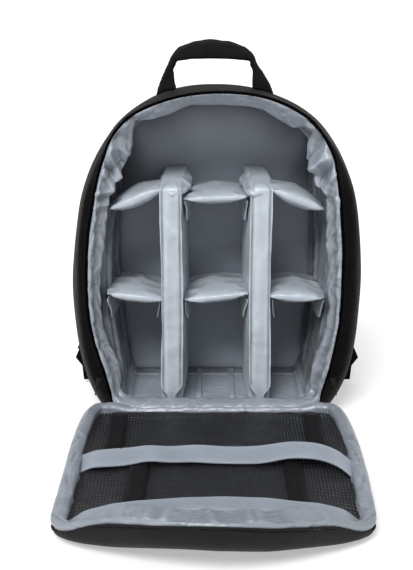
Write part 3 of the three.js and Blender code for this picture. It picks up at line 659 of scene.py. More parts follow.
def makeShell(values):
    shell = nodeCopy("shell_gusset", "outerShell")
    subdivided(shell, 2)

    def shift(place, normal):
        depth = place.y - openingY
        angle = archAngle(place)
        back = smoothStep(0.0, 0.02, depth)
        high = smoothStep(0.01, 0.04, place.z)
        push = float(np.interp(angle, shellAngles, shellPushes)) / 1000
        reach = math.hypot(place.x, place.z - archCentre)
        front = (edgeReach(angle) + values["lip"] - reach) * (1 - smoothStep(0.0, 0.012, depth))
        front *= smoothStep(0.03, 0.05, place.z)
        wave = normal * values["wrinkle"] * ripple(place, values["size"]) * back
        return outward(place) * (push * back * high + front) + wave

    moved(shell, shift)
    finished(shell, materials["shell"], "shell_fabric", "shell_gusset")


makeShell(shellValues)


# The room's lining is one surface, from the back of the room to the seam beside the zip. Its roll is
# wide on the shoulders, hangs in drapes at the crown and turns into the low lip at the hinge.

liningValues = {
    "columns": 680, "wallRows": 52, "rollRows": 34, "backDepth": 0.1045, "deepest": 0.041,
    "shellGap": 0.0035, "rollDepth": 0.022, "faceDepth": 0.0065, "bulge": 0.0036, "groove": 0.0018,
    "vault": 0.015, "crownDepth": 0.009, "crownGroove": 0.004, "crownFrom": 0.95, "crownFull": 0.6,
    "crownRun": 0.62, "sillFrom": 2.46, "sillTo": 2.62, "gather": 0.0006, "gatherSize": 0.0045,
    "fold": 0.003, "foldSize": 0.021, "drape": 0.0026, "drapeSize": 0.026, "diamond": 0.0072,
    "diamondSize": 0.026, "diamondTurns": 1.3, "seam": 0.0009, "seamPlace": 0.48, "crush": 0.0018,
    "crushSize": 0.03, "sillCrush": 0.0012, "sillCrushSize": 0.018, "wallFold": 0.0034,
    "foldWidth": 0.0022, "cornerX": 0.0825, "corner": 0.0022, "cornerWidth": 0.0016,
    "floorCrease": 0.0016, "floorCreaseDepth": 0.083, "lowerDark": 0.9, "stripDark": 1.3,
}
# (depth behind the opening, height) of the lip at the hinge
sillForm = (
    (0.022, 0.0158), (0.012, 0.0162), (0.005, 0.0195), (0.0005, 0.0243), (-0.004, 0.0255), (-0.009, 0.0252),
    (-0.0135, 0.0238), (-0.0165, 0.021), (-0.0175, 0.016), (-0.014, 0.011))
# (depth behind the opening, lean towards the top) of each upright fold in a side wall
wallFolds = {"left": ((0.033, 0.027), (0.076, 0.018)), "right": ((0.06, 0.008), (0.088, 0.008))}


def triangle(value):
    return 4 * abs(value - math.floor(value + 0.5)) - 1


def treeOf(node):
    mesh = cadNodes[node].data
    faces = [list(face.vertices) for face in mesh.polygons]
    return BVHTree.FromPolygons([vertex.co.copy() for vertex in mesh.vertices], faces)


def crownShare(angle, values):
    return smoothStep(values["crownFrom"], values["crownFull"], abs(angle))


def rollForm(angle, wall, limit, values):
    # (depth, reach) points from the wall round the roll's inner edge and face to the seam and behind it
    outer = edgeReach(angle)
    width = rollWidth(angle)
    inner = outer - width
    crown = crownShare(angle, values)
    deep = values["faceDepth"] + values["crownDepth"] * crown
    bulge = values["bulge"] * (1 - crown)
    room = min(max(wall, inner + 0.001) + values["groove"] + values["crownGroove"] * crown, limit)
    return [
        (values["rollDepth"] + 0.6 * (deep - values["faceDepth"]), room), (deep + 0.008, room),
        (deep + 0.0035, inner + 0.0012),
        (deep, inner), (deep * 0.62, inner + 0.0016), (deep * 0.36 - 0.2 * bulge, inner + 0.4 * width),
        (0.0022 * crown - bulge, inner + 0.72 * width), (0.0006 * crown - bulge, inner + 0.9 * width),
        (-0.001 + 0.001 * crown, outer), (0.006, outer - 0.0004)]


def rollHeight(angle, across, values):
    # gathers at the seam, folds over the face, and facets where the roll bends round the shoulders
    along = angle * 0.14
    shoulder = bell((abs(angle) - 0.82) / 0.24)
    crown = bell(angle / 0.55)
    gather = 1 - 2.2 * abs(noise.noise(Vector((along / values["gatherSize"], 0.9 * across, 4))))
    height = values["gather"] * gather * smoothStep(0.3, 1.0, across) * (1 - 0.6 * shoulder)
    slant = 0.8 * across * (1 if angle > 0 else -1)
    fold = abs(noise.noise(Vector((along / values["foldSize"] + slant, 1.9 * across, 9)))) ** 0.7 - 0.3
    height += values["fold"] * fold * (1 - 0.85 * shoulder) * (1 - 0.8 * crown)
    drape = noise.noise(Vector((along / values["drapeSize"] + 0.25 * across, 0.35 * across, 6)))
    height += values["drape"] * crown * drape * smoothStep(1.1, 0.3, across)
    jitter = 0.6 * noise.noise(Vector((along / 0.03, across, 2)))
    turns = values["diamondTurns"] * across
    first = triangle(along / values["diamondSize"] + 0.5 * turns + jitter)
    second = triangle(along / (values["diamondSize"] * 1.15) - 0.5 * turns + 0.3 - jitter)
    height += values["diamond"] * 0.5 * (first + 0.8 * second) * shoulder
    side = smoothStep(1.0, 1.15, abs(angle))
    seamPlace = values["seamPlace"] + 0.08 * noise.noise(Vector((along / 0.02, 0, 0)))
    height -= values["seam"] * bell((across - seamPlace) / 0.07) * side
    return height * smoothStep(-0.25, 0.12, across) * smoothStep(1.0, 0.76, across)


def wallHeight(place, depth, name, values):
    # crushed cloth, upright folds in the sides, corners beside the floor and a crease across it
    above = smoothStep(0.017, 0.03, place.z)
    height = values["crush"] * crumple(place, values["crushSize"], 1.0) * (0.25 + 0.75 * above)
    run = smoothStep(0.02, 0.05, place.z) * smoothStep(0.26, 0.22, place.z)
    for foldDepth, lean in wallFolds[name]:
        line = foldDepth + lean * smoothStep(0.14, 0.215, place.z)
        line += 0.003 * ripple((0, 0, place.z), 0.03, foldDepth * 90)
        away = (depth - line) / values["foldWidth"]
        height += values["wallFold"] * (bell(away) - 0.7 * bell(away + 1.9)) * run
    corner = bell((abs(place.x) - values["cornerX"]) / values["cornerWidth"])
    height -= values["corner"] * corner * smoothStep(0.045, 0.03, place.z)
    crease = bell((depth - values["floorCreaseDepth"]) / values["cornerWidth"])
    return height + values["floorCrease"] * crease * smoothStep(0.021, 0.0175, place.z)


def wallShade(place, depth, name, values):
    # painted shade darkens the side walls, most of all low on the right, painted light brightens the floor,
    # and the seam behind the floor is darker
    above = smoothStep(0.017, 0.03, place.z)
    onFloor = smoothStep(0.03, 0.02, place.z)
    strip = smoothStep(0.084, 0.088, depth) * onFloor * (1.1 + 1.4 * ripple(place, 0.005))
    shade = above - onFloor + values["stripDark"] * strip
    if name == "right":
        low = smoothStep(0.016, 0.03, depth) * smoothStep(0.13, 0.1, place.z) * above
        shade += values["lowerDark"] * low
    return shade


def makeLining(values):
    walls = treeOf("lining_gusset")
    shellWalls = treeOf("shell_gusset")
    columns, wallRows, rollRows = values["columns"], values["wallRows"], values["rollRows"]
    rows = wallRows + rollRows
    places = np.zeros((rows, columns, 3))
    heights = np.zeros((rows, columns))
    paintedShades = np.zeros((rows, columns))
    angles = (np.arange(columns) + 0.5) / columns * 2 * math.pi - math.pi
    sillDepths, sillRises = np.array(sillForm).T
    for j, angle in enumerate(angles):
        name = "right" if angle > 0 else "left"
        way = Vector((math.sin(angle), 0, math.cos(angle)))
        sill = smoothStep(values["sillFrom"], values["sillTo"], abs(angle))
        crown = bell(angle / values["crownRun"]) * (1 - sill)
        start = values["rollDepth"] + 0.6 * values["crownDepth"] * crown
        wallDepths = np.linspace(values["backDepth"], start, wallRows, endpoint=False)
        vault = values["vault"] * bell((abs(angle) - 0.66) / 0.3)
        reaches = []
        limits = []
        for depth in [*wallDepths, start]:
            middle = Vector((0, min(openingY + depth, values["deepest"]), archCentre))
            limits.append((shellWalls.ray_cast(middle, way)[0] - middle).length - values["shellGap"])
            wallReach = (walls.ray_cast(middle, way)[0] - middle).length
            reach = wallReach + vault * smoothStep(0.01, 0.06, depth)
            reaches.append(min(reach, limits[-1]))
        rollAngle = max(-2.56, min(2.56, angle))
        form = np.array(rollForm(rollAngle, reaches[-1], limits[-1], values))
        if sill > 0:
            low = np.stack([sillDepths, (archCentre - sillRises) / max(0.2, -math.cos(angle))], axis=1)
            form = form * (1 - sill) + low * sill
        roll = curve(form, rollRows)
        groove = values["groove"] * (1 - sill)
        for i in range(rows):
            if i < wallRows:
                depth, reach = wallDepths[i], reaches[i]
                reach += groove * smoothStep(start + 0.02, start, depth)
                nearRoll = smoothStep(values["backDepth"], start + 0.01, depth)
                reach += values["crownGroove"] * crownShare(angle, values) * nearRoll
                reach = min(reach, limits[i])
            else:
                depth, reach = roll[i - wallRows]
            place = Vector((0, openingY + depth, archCentre)) + way * reach
            places[i, j] = place
            onWall = smoothStep(start * 0.6, start + 0.006, depth) if i < wallRows + 3 else 0.0
            if i < wallRows + 4:
                heights[i, j] = wallHeight(place, depth, name, values)
            else:
                across = (i - wallRows - 0.33 * (rollRows - 1)) / (0.556 * (rollRows - 1))
                crushed = values["sillCrush"] * crumple(place, values["sillCrushSize"], 3.0)
                heights[i, j] = rollHeight(angle, across, values) * (1 - sill) + crushed * sill
            # painted shade on the side walls and painted light on the floor, kept in the 'deep' attribute
            paintedShades[i, j] = onWall * wallShade(place, depth, name, values)
    around = np.roll(places, -1, axis=1) - np.roll(places, 1, axis=1)
    through = np.gradient(places, axis=0)
    normals = np.cross(through, around)
    normals /= np.maximum(np.linalg.norm(normals, axis=2, keepdims=True), 1e-9)
    middle = np.array([0, 0, archCentre])
    inward = ((middle - places[wallRows // 2]) * normals[wallRows // 2]).sum() > 0
    places += normals * heights[:, :, None] * (1 if inward else -1)
    lining = gridPiece("bodyLining", [[Vector(place) for place in row] for row in places], closed=True)
    deep = lining.data.attributes.new("deep", "FLOAT", "POINT")
    deep.data.foreach_set("value", paintedShades.ravel())
    paintFoldShade(lining, 2, 6.0)
    face = lining.data.polygons[wallRows // 2 * columns]
    if face.normal.dot(Vector(middle) - face.center) < 0:
        lining.data.flip_normals()
    finished(lining, materials["lining"], "lining_fabric", "lining_gusset")


liningBackValues = {
    "widen": 1.045, "wave": 0.0016, "waveSize": 0.06, "voxel": 0.004, "vault": 0.015, "nearer": 0.937,
    "shadeRun": 0.03,
}


def makeLiningBack(values):
    back = nodeCopy("lining_back", "backLining", quads=False)
    low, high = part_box("lining_back")
    centre = (low + high) / 2
    wider = values["widen"] - 1
    moved(back, lambda place, normal: Vector(
        ((place.x - centre.x) * wider, 0, (place.z - centre.z) * wider * 0.6)))
    remeshed(back, values["voxel"])

    def vault(place, normal):
        reach = math.hypot(place.x, place.z - archCentre)
        push = values["vault"] * bell((abs(archAngle(place)) - 0.66) / 0.3)
        return outward(place) * push * smoothStep(0.06, 0.1, reach)

    def wave(place, normal):
        return normal * values["wave"] * ripple(place, values["waveSize"]) * (normal.y < 0)

    moved(back, vault)
    moved(back, wave)
    shades = []
    for vertex in back.data.vertices:
        # painted shadow under the roll: the back wall is painted darker where the eye in front sees the
        # point close under the strip at the opening, most of all on the shoulders
        x = vertex.co.x * values["nearer"]
        z = cameraValues["place"][2] * (1 - values["nearer"]) + vertex.co.z * values["nearer"] - archCentre
        angle = math.atan2(x, z)
        gap = edgeReach(angle) - rollWidth(angle) - math.hypot(x, z)
        run = values["shadeRun"] * (1 + 0.6 * bell((abs(angle) - 0.75) / 0.16))
        shades.append(max(0.0, 1 - max(0.0, gap) / run) ** 1.6 * smoothStep(1.3, 0.8, abs(angle)))
    back.data.attributes.new("deep", "FLOAT", "POINT").data.foreach_set("value", shades)
    finished(back, materials["liningBack"], "lining_fabric", "lining_back")


makeLining(liningValues)
makeLiningBack(liningBackValues)
report("body lining made")


# Padded dividers: upright slabs with a piped seam along each front edge and a pinched foot

dividerValues = {
    "half": 0.0099, "across": (0.0, 0.045, 0.085, 0.125, 0.2, 0.35), "deepCells": 26, "highCells": 70,
    "frontX": 0.04, "backX": 0.0352, "lean": 0.0008, "seam": 0.0078, "seamDepth": 0.0022,
    "seamWidth": 0.0009, "sideSeam": 0.0042, "sideSeamDepth": 0.0009, "sideSeamWidth": 0.0011,
    "piping": 0.0004, "belly": 0.0012, "sideBelly": 0.0012, "footHeight": 0.007, "pinchRun": 0.011,
    "pinch": 0.3, "wrinkle": 0.0005, "wrinkleSize": 0.025, "crush": 0.0012, "crushSize": 0.03,
}


def makeDivider(name, side, values):
    low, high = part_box("divider_" + name)
    half = values["half"]
    shares = [*values["across"], *[1 - s for s in values["across"]][::-1]]
    xs = [half * (2 * s - 1) for s in shares]
    ys = [low.y + (high.y - low.y) * j / values["deepCells"] for j in range(values["deepCells"] + 1)]
    loop = [(x, ys[0]) for x in xs] + [(half, y) for y in ys[1:-1]]
    loop += [(x, ys[-1]) for x in xs[::-1]] + [(-half, y) for y in ys[1:-1][::-1]]
    rows = []

    def middleAt(y):
        back = (y - low.y) / (high.y - low.y)
        return side * (values["frontX"] + (values["backX"] - values["frontX"]) * back)

    for k in range(values["highCells"] + 1):
        share = k / values["highCells"]
        z = low.z + (high.z - low.z) * share
        footing = smoothStep(0, 1, (z - low.z - values["footHeight"]) / values["pinchRun"])
        slim = values["pinch"] + (1 - values["pinch"]) * footing
        row = []
        for x, y in loop:
            front = 1 - smoothStep(0, 0.012, y - low.y)
            narrow = 1 - (1 - slim) * front
            lean = values["lean"] * math.sin(share * 6 + side * 1.3)
            row.append(Vector((middleAt(y) + x * narrow + lean, y, z)))
        rows.append(row)
    piece = gridPiece("divider" + name.title(), rows, closed=True, capped=True)

    def shift(place, normal):
        share = (place.y - low.y) / (high.y - low.y)
        across = place.x - middleAt(place.y)
        up = (place.z - low.z) / (high.z - low.z)
        ends = smoothStep(0.03, 0.12, up)
        out = 0.0
        if place.y < low.y + 0.0015:
            seam = bell((abs(across) - values["seam"]) / values["seamWidth"])
            out += values["belly"] * (1 - (across / half) ** 2) * ends - values["seamDepth"] * seam * ends
            past = abs(across) - values["seam"]
            out += values["piping"] * smoothStep(0.0007, 0.0015, past)
        else:
            seam = bell((place.y - low.y - values["sideSeam"]) / values["sideSeamWidth"])
            out += values["sideBelly"] * math.sin(math.pi * min(1, share * 1.02))
            out -= values["sideSeamDepth"] * seam * ends
        out += values["wrinkle"] * ripple(place, values["wrinkleSize"], side)
        out += values["crush"] * crumple(place, values["crushSize"], side * 2)
        return normal * out

    moved(piece, shift)
    paintFoldShade(piece, 1, 9.0)
    finished(piece, materials["pad"], "pad_fabric", "divider_" + name)
    subdivided(piece, 1, live=True)


for name, side in sides.items():
    makeDivider(name, side, dividerValues)
report("dividers made")


# Shelves: pillows with pinched ends

shelfValues = {
    "rings": 44, "points": 44, "cornerPower": 0.72, "roundPower": 0.72, "endThickness": 0.12,
    "endPower": 3.2, "bow": 0.003, "pressure": 2.5, "slack": 0.03, "cap": 0.003, "bending": 0.6,
    "crush": 0.0011, "crushSize": 0.03, "pleat": 0.0012, "pleatSize": 0.005,
}
shelfShapes = {
    "shelf_middle_left": {"thick": 0.0135, "lean": -0.003, "droop": 0.007},
    "shelf_middle_centre": {"thick": 0.0145, "lean": 0.003, "droop": 0.008},
    "shelf_middle_right": {"thick": 0.014, "lean": -0.001, "droop": 0.007},
    "shelf_upper_left": {"thick": 0.017, "lean": 0.0105, "droop": 0.012},
    "shelf_upper_centre": {"thick": 0.0125, "lean": 0.0015, "droop": 0.009},
    "shelf_upper_right": {"thick": 0.017, "lean": -0.0105, "droop": 0.012},
}


def makeShelf(node, form, values):
    low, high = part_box(node)
    centre = (low + high) / 2
    half = (high - low) / 2
    rows = []
    for i in range(values["rings"] + 1):
        u = 2 * i / values["rings"] - 1
        slim = values["endThickness"] + (1 - values["endThickness"]) * (1 - abs(u) ** values["endPower"])
        deep = half.y * (1 - 0.03 * abs(u) ** 6)
        z = centre.z + form["lean"] * u
        row = []
        for j in range(values["points"]):
            angle = 2 * math.pi * j / values["points"]
            forward = signedPower(math.cos(angle), values["cornerPower"])
            y = centre.y - deep * forward - values["bow"] * (1 - u * u) * max(0.0, forward)
            rise = form["thick"] / 2 * slim * signedPower(math.sin(angle), values["roundPower"])
            back = (y - low.y) / (high.y - low.y)
            droop = form["droop"] * max(0.0, back) ** 1.3
            row.append(Vector((centre.x + half.x * u, y, z + rise * (1 - 0.3 * max(0.0, back)) - droop)))
        rows.append(row)
    piece = gridPiece(node.replace("_", ""), rows, closed=True, capped=True)
    places = coordinates(piece)
    ends = np.abs(places[:, 0] - centre.x) > half.x * 0.975
    puffed(piece, values, pinned=np.nonzero(ends)[0])

    def shift(place, normal):
        u = (place.x - centre.x) / half.x
        pleat = ripple((place.x * 0.15, place.y * 0.7, place.z), values["pleatSize"], centre.x * 30)
        near = smoothStep(0.35, 0.95, abs(u))
        return normal * (values["pleat"] * pleat * near + values["crush"] * crumple(
            place, values["crushSize"], centre.z * 40 + centre.x * 25))

    moved(piece, shift)
    paintFoldShade(piece)
    finished(piece, materials["pad"], "pad_fabric", node)
    subdivided(piece, 1, live=True)


for node, form in shelfShapes.items():
    makeShelf(node, form, shelfValues)
report("shelves made")


# Sewn tabs at the shelf ends, the cloth that is folded over the dividers, and the floor's tapes

tabValues = {"wave": 0.0016, "size": 0.012}
lumpValues = {"half": (0.0138, 0.042, 0.0052), "rise": 0.0034, "crush": 0.0042, "size": 0.017, "power": 0.7}


def makeTab(node, name, amount, size):
    piece = nodeCopy(node, name)
    cutFiner(piece, 3)
    moved(piece, lambda place, normal: amount * Vector((ripple(place, size), ripple(place, size, 4), 0)))
    return piece


def makeFoldedTab(name, side, values):
    low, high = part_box("tab_folded_" + name)
    centre = Vector(((low.x + high.x) / 2, (low.y + high.y) / 2, (low.z + high.z) / 2 - values["rise"]))
    shape = bmesh.new()
    bmesh.ops.create_icosphere(shape, subdivisions=5, radius=1.0)
    half = values["half"]
    for vertex in shape.verts:
        x, y, z = [signedPower(value, values["power"]) for value in vertex.co]
        vertex.co = centre + Vector((x * half[0], y * half[1], z * half[2]))
    piece = meshObject("foldedTab" + name.title(), shape)
    moved(piece, lambda place, normal: normal * values["crush"] * crumple(
        (place.x + place.z, place.y * 0.5, place.z * 0.5), values["size"], side * 3.0))
    paintFoldShade(piece)
    finished(piece, materials["pad"], "pad_fabric", "tab_folded_" + name)


for node in cadNodes:
    if node.startswith("tab_") and "folded" not in node:
        tab = makeTab(node, node.replace("_", ""), tabValues["wave"], tabValues["size"])
        finished(tab, materials["pad"], "pad_fabric", node)
        subdivided(tab, 1, live=True)
    if node.startswith("floor_tape_"):
        tape = makeTab(node, node.replace("_", ""), 0.0003, 0.01)
        finished(tape, materials["band"], "lining_fabric", node)
for name, side in sides.items():
    makeFoldedTab(name, side, lumpValues)
report("tabs and floor tapes made")


# Flap. Its rim's height and reach are read round the lining, so that cloth can follow the rim.

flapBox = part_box("flap_lining")
flapMiddle = Vector((0, (flapBox[0].y + flapBox[1].y) / 2, 0))
flapTip = flapBox[0].y
rimBins = 96


def rimAngle(x, y):
    return np.arctan2(x - flapMiddle.x, flapMiddle.y - y)


def rimTable():
    places = coordinates(cadNodes["flap_lining"])
    angles = rimAngle(places[:, 0], places[:, 1])
    reach = np.hypot(places[:, 0], places[:, 1] - flapMiddle.y)
    steps = np.linspace(-math.pi, math.pi, rimBins + 1)
    tops = []
    reaches = []
    for step in steps:
        away = np.abs(np.angle(np.exp(1j * (angles - step))))
        near = away < 0.12
        tops.append(places[near, 2].max())
        reaches.append(reach[near].max())
    return steps, np.array(tops), np.array(reaches)


rimSteps, rimTops, rimReaches = rimTable()


def rimAt(place):
    angle = float(rimAngle(place.x, place.y))
    return float(np.interp(angle, rimSteps, rimTops)), float(np.interp(angle, rimSteps, rimReaches))


def tipShare(place):
    return smoothStep(flapTip + 0.06, flapTip + 0.015, place.y)


def flapOutward(place):
    return Vector((place.x, place.y - flapMiddle.y, 0)).normalized()


# How the flap departs from its even shape: wider at its left corner, its tip's edge lower in the middle

# (place across, lift in mm) of the tip's edge
liftPoints = (
    (-0.12, 8.5), (-0.097, 7.5), (-0.072, 3.2), (-0.043, 1), (0, -1.5), (0.037, -1.5), (0.073, 0.5),
    (0.095, 6), (0.12, 7))
liftPlaces, liftHeights = np.array(liftPoints).T
stretchValues = {"left": 0.0025, "leftTip": 0.0045}
flapShellValues = {"wrinkle": 0.0008, "size": 0.04, "under": 0.003, "run": 0.012}
flapValues = {
    "rimGrow": 0.0012, "rimRun": 0.007, "crush": 0.0015, "tipCrush": 0.0045, "crushSize": 0.024,
    "hingeDrop": 0.0025, "seam": 0.0011, "seamPlace": 0.0062, "seamWidth": 0.0009, "tipWidth": 0.018,
    "tipRise": 0.003,
}


def flapStretch(place):
    tip = smoothStep(0.2, 0.32, -place.y)
    left = smoothStep(0.0, 0.12, -place.x)
    lift = float(np.interp(place.x, liftPlaces, liftHeights)) / 1000
    high = smoothStep(0.004, 0.02, place.z)
    wider = left * (stretchValues["left"] + stretchValues["leftTip"] * tip)
    return Vector((-wider, 0, lift * tipShare(place) * high))


def makeFlapShell(values):
    shell = nodeCopy("flap_shell", "flapShell")
    subdivided(shell, 2)

    def shift(place, normal):
        top, reach = rimAt(place)
        side = 1 - tipShare(place)
        tuck = smoothStep(top - values["run"] * 1.6, top - values["run"] * 0.4, place.z) * side
        wave = values["wrinkle"] * ripple(place, values["size"]) * smoothStep(0.001, 0.008, place.z)
        return normal * wave - flapOutward(place) * values["under"] * tuck - Vector(
            (0, 0, values["under"] * tuck)) + flapStretch(place)

    moved(shell, shift)
    finished(shell, materials["hull"], "shell_fabric", "flap_shell")


def makeFlapLining(values):
    lining = nodeCopy("flap_lining", "flapLining")
    subdivided(lining, 3)

    def shift(place, normal):
        top, reach = rimAt(place)
        tip = tipShare(place)
        way = flapOutward(place)
        rim = smoothStep(top - values["rimRun"], top - values["rimRun"] * 0.4, place.z)
        outer = smoothStep(0.1, 0.5, normal.dot(way))
        crush = values["crush"] + (values["tipCrush"] - values["crush"]) * tip * rim
        crush *= crumple(place, values["crushSize"], 4.0) * (1 - outer) * smoothStep(0.0, 0.5, normal.z)
        across = reach - Vector((place.x, place.y - flapMiddle.y, 0)).length
        seam = bell((across - values["seamPlace"]) / values["seamWidth"]) * rim * (1 - tip)
        seam *= normal.z > 0.5
        out = rim * values["rimGrow"] + crush - values["seam"] * seam
        # at the hinge the edge lies lower, and at the tip the roll is wide towards the pocket
        hinge = smoothStep(-0.09, -0.078, place.y) * smoothStep(0.09, 0.075, abs(place.x))
        drop = values["hingeDrop"] * hinge * smoothStep(0.008, 0.016, place.z)
        ledge = smoothStep(0.66, 0.93, -way.y) * smoothStep(0.022, 0.033, place.z)
        ledge *= smoothStep(0.35, -0.2, normal.dot(way)) * smoothStep(0.004, 0.009, across)
        rise = values["tipRise"] * smoothStep(0.044, 0.034, place.z)
        return normal * out + Vector((0, values["tipWidth"], rise)) * ledge + flapStretch(place) - Vector(
            (0, 0, drop))

    moved(lining, shift)
    paintFoldShade(lining)
    finished(lining, materials["lining"], "lining_fabric", "flap_lining")


makeFlapShell(flapShellValues)
makeFlapLining(flapValues)
report("flap made")


# Net pockets, their bands and tapes

netValues = {
    "cuts": 4, "dip": 0.0016, "ripple": 0.001, "hingeRun": 0.035, "hingeRise": 0.003, "hingeReach": 0.008,
}


def makeNet(node, values):
    net = nodeCopy(node, node.replace("_", ""))
    low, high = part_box(node)

    def work(shape):
        shape.normal_update()
        bmesh.ops.delete(shape, geom=[f for f in shape.faces if f.normal.z < 0.35], context="FACES")
        bmesh.ops.subdivide_edges(shape, edges=shape.edges, cuts=values["cuts"], use_grid_fill=True)

    edited(net, work)
    lower = node.endswith("lower")

    def shift(place, normal):
        dip = values["dip"] * abs(ripple(place, 0.03, 2)) + values["ripple"] * ripple(place, 0.012)
        back = smoothStep(high.y - values["hingeRun"], high.y, place.y) if lower else 0.0
        shift = Vector((0, values["hingeReach"] * back, values["hingeRise"] * back - dip))
        return shift + flapStretch(place)

    moved(net, shift)
    finished(net, materials["net"], "mesh_net", node)
    subdivided(net, 1, live=True)


bandForms = {
    "pocket_band_lower": {
        "widen": 1.1, "wave": 0.003, "waveSize": 0.03, "seed": 1.0,
        "lifts": ({"x": 0.07, "reach": 0.03, "up": 0.005}, {"x": -0.05, "reach": 0.012, "up": 0.0025}),
        "rightEnd": -0.018, "leftEnd": -0.001, "frontReach": 0.0, "tuck": 0.006,
    },
    "pocket_band_upper": {
        "widen": 1.06, "wave": 0.002, "waveSize": 0.03, "seed": 6.0,
        "lifts": ({"x": 0.0, "reach": 0.08, "up": 0.0035},),
        "rightEnd": 0.0, "leftEnd": 0.0, "frontReach": -0.012, "tuck": 0.006,
    },
}


def makeBand(node, form):
    band = nodeCopy(node, node.replace("_", ""))
    cutFiner(band, 3)
    low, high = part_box(node)

    def shift(place, normal):
        lift = sum(l["up"] * bell((place.x - l["x"]) / l["reach"]) for l in form["lifts"])
        slide = form["rightEnd"] * smoothStep(0.075, 0.115, place.x)
        slide += form["leftEnd"] * smoothStep(0.075, 0.115, -place.x)
        front = smoothStep(low.y + 0.02, low.y + 0.002, place.y) * smoothStep(0.09, 0.07, abs(place.x))
        slide += form["frontReach"] * front
        wave = form["wave"] * ripple((place.x, place.y * 0.5, 0), form["waveSize"], form["seed"])
        tuck = form["tuck"] * smoothStep(0.09, 0.108, abs(place.x))
        wider = place.x * (form["widen"] - 1)
        return Vector((wider, slide + wave * 0.6, lift + wave * 0.5 - tuck)) + flapStretch(place)

    moved(band, shift)
    paintFoldShade(band)
    finished(band, materials["band"], "band_fabric", node)
    subdivided(band, 1, live=True)


tapeValues = {
    "longer": 1.4, "rise": 0.0006, "dip": 0.006, "dipRun": 0.02, "back": {"lower": 0.005, "upper": 0.002},
}


def makeMeshTape(node, values):
    tape = makeTab(node, node.replace("_", ""), 0.0004, 0.01)
    low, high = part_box(node)
    middle = (low.y + high.y) / 2
    half = (high.y - low.y) / 2 * values["longer"]
    back = values["back"]["lower" if "lower" in node else "upper"]

    def shift(place, normal):
        y = middle + (place.y - middle) * values["longer"] + back
        front = smoothStep(middle - half + values["dipRun"], middle - half, y)
        return Vector((0, y - place.y, values["rise"] - values["dip"] * front)) + flapStretch(place)

    moved(tape, shift)
    finished(tape, materials["webbing"], "webbing", node)


makeNet("mesh_pocket_lower", netValues)
makeNet("mesh_pocket_upper", netValues)
for node, form in bandForms.items():
    makeBand(node, form)
for node in cadNodes:
    if node.startswith("mesh_tape_"):
        makeMeshTape(node, tapeValues)
report("pockets made")


# Zips: tapes that lean out from the rolls

zipValues = {"inset": 0.0006, "flat": 0.16, "wide": 0.42}
trimValues = {"sliderShrink": 0.35, "sliderShift": 0.004, "rightWing": 0.0035}


def makeBodyZip(values):
    tape = nodeCopy("zip_tape_body", "zipTapeBody")
    cutFiner(tape, 1)

    def shift(place, normal):
        forward = openingY - place.y
        reach = math.hypot(place.x, place.z - archCentre)
        aim = edgeReach(archAngle(place)) - values["inset"] + values["wide"] * forward
        side = smoothStep(0.03, 0.045, place.z)
        return outward(place) * (aim - reach) * side + Vector((0, forward * (1 - values["flat"]), 0))

    moved(tape, shift)
    finished(tape, materials["zip"], "webbing", "zip_tape_body")
    bevelled(tape)


def makeFlapZip():
    tape = nodeCopy("zip_tape_flap", "zipTapeFlap")
    cutFiner(tape, 1)

    def shift(place, normal):
        side = 1 - tipShare(place)
        inward = flapShellValues["under"] * side
        return flapStretch(place) - flapOutward(place) * inward - Vector((0, 0, 1.6 * inward))

    moved(tape, shift)
    finished(tape, materials["webbing"], "webbing", "zip_tape_flap")
    bevelled(tape)


def bevelled(piece, width=0.0005):
    bevel = piece.modifiers.new("edges", "BEVEL")
    bevel.width = width
    bevel.segments = 2
    bevel.limit_method = "ANGLE"


def makeTrim(node, name, material, slot):
    piece = nodeCopy(node, name)
    finished(piece, materials[material], slot, node)
    bevelled(piece)
    return piece


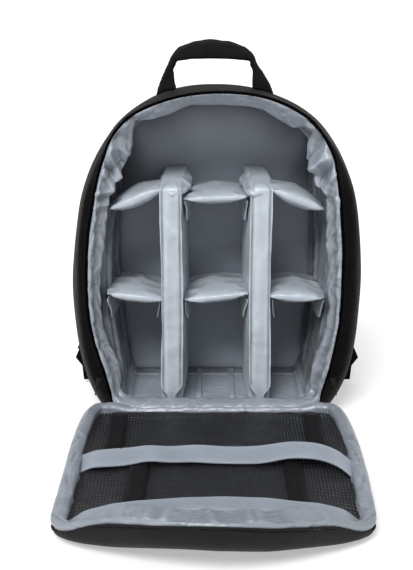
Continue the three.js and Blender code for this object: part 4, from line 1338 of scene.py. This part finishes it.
makeBodyZip(zipValues)
makeFlapZip()
for name in sides:
    slider = makeTrim("zip_slider_" + name, "zipSlider" + name.title(), "plastic", "plastic")
    low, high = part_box("zip_slider_" + name)
    middle = (low + high) / 2
    shift = Vector((sides[name], 1, 0)) * trimValues["sliderShift"]
    moved(slider, lambda place, normal: (middle - place) * trimValues["sliderShrink"] + shift)
    makeTrim("strap_buckle_" + name, "strapBuckle" + name.title(), "plastic", "plastic")
    makeTrim("strap_webbing_" + name, "strapWebbing" + name.title(), "webbing", "webbing")
    wing = makeTrim("strap_wing_" + name, "strapWing" + name.title(), "shell", "shell_fabric")
    if name == "right":
        moved(wing, lambda place, normal: Vector((trimValues["rightWing"], 0, 0)))


# Handle, straps and back

# The middle of each leg is (place across at the foot, slope), and the outer edge moves by (foot, top)
handleValues = {
    "voxel": 0.0014, "wave": 0.0006, "waveSize": 0.014, "top": 0.341, "gripLow": 0.32, "lower": 0.0024,
    "middle": {"left": (0.0468, -0.15), "right": (0.0454, -0.22)}, "half": 0.005,
    "inner": {"left": 0.0024, "right": 0.0036},
    "outer": {"left": (0.0006, -0.0015), "right": (0.0003, -0.0024)},
}


def makeHandle(values):
    # the legs are spread to the width that the photo shows, and the grip's top is a little lower
    handle = nodeCopy("carry_handle", "carryHandle", quads=False)
    remeshed(handle, values["voxel"], 5)
    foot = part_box("carry_handle")[0].z

    def shift(place, normal):
        name = "right" if place.x > 0 else "left"
        leg = smoothStep(0.03, 0.036, abs(place.x))
        middle, slope = values["middle"][name]
        across = (abs(place.x) - middle - slope * (place.z - foot)) / values["half"]
        low, high = values["outer"][name]
        up = smoothStep(foot + 0.004, values["gripLow"], place.z)
        out = smoothStep(-1, 1, across)
        spread = out * (low + (high - low) * up) - (1 - out) * values["inner"][name] * smoothStep(
            values["gripLow"] + 0.002, values["gripLow"] - 0.006, place.z)
        drop = values["lower"] * smoothStep(values["gripLow"], values["top"], place.z)
        return normal * values["wave"] * ripple(place, values["waveSize"]) + Vector(
            (sides[name] * spread * leg, 0, -drop))

    moved(handle, shift)
    finished(handle, materials["webbing"], "webbing", "carry_handle")


def makeBackPanel():
    panel = nodeCopy("back_panel", "backPanel", quads=False)
    remeshed(panel, 0.004)
    finished(panel, materials["shell"], "shell_fabric", "back_panel")


def makeShoulderStrap(name):
    strap = nodeCopy("shoulder_strap_" + name, "shoulderStrap" + name.title())
    remeshed(strap, 0.004)
    finished(strap, materials["shell"], "shell_fabric", "shoulder_strap_" + name)
    subdivided(strap, 1, live=True)


makeHandle(handleValues)
makeBackPanel()
for name in sides:
    makeShoulderStrap(name)
report("handle, straps and back made")
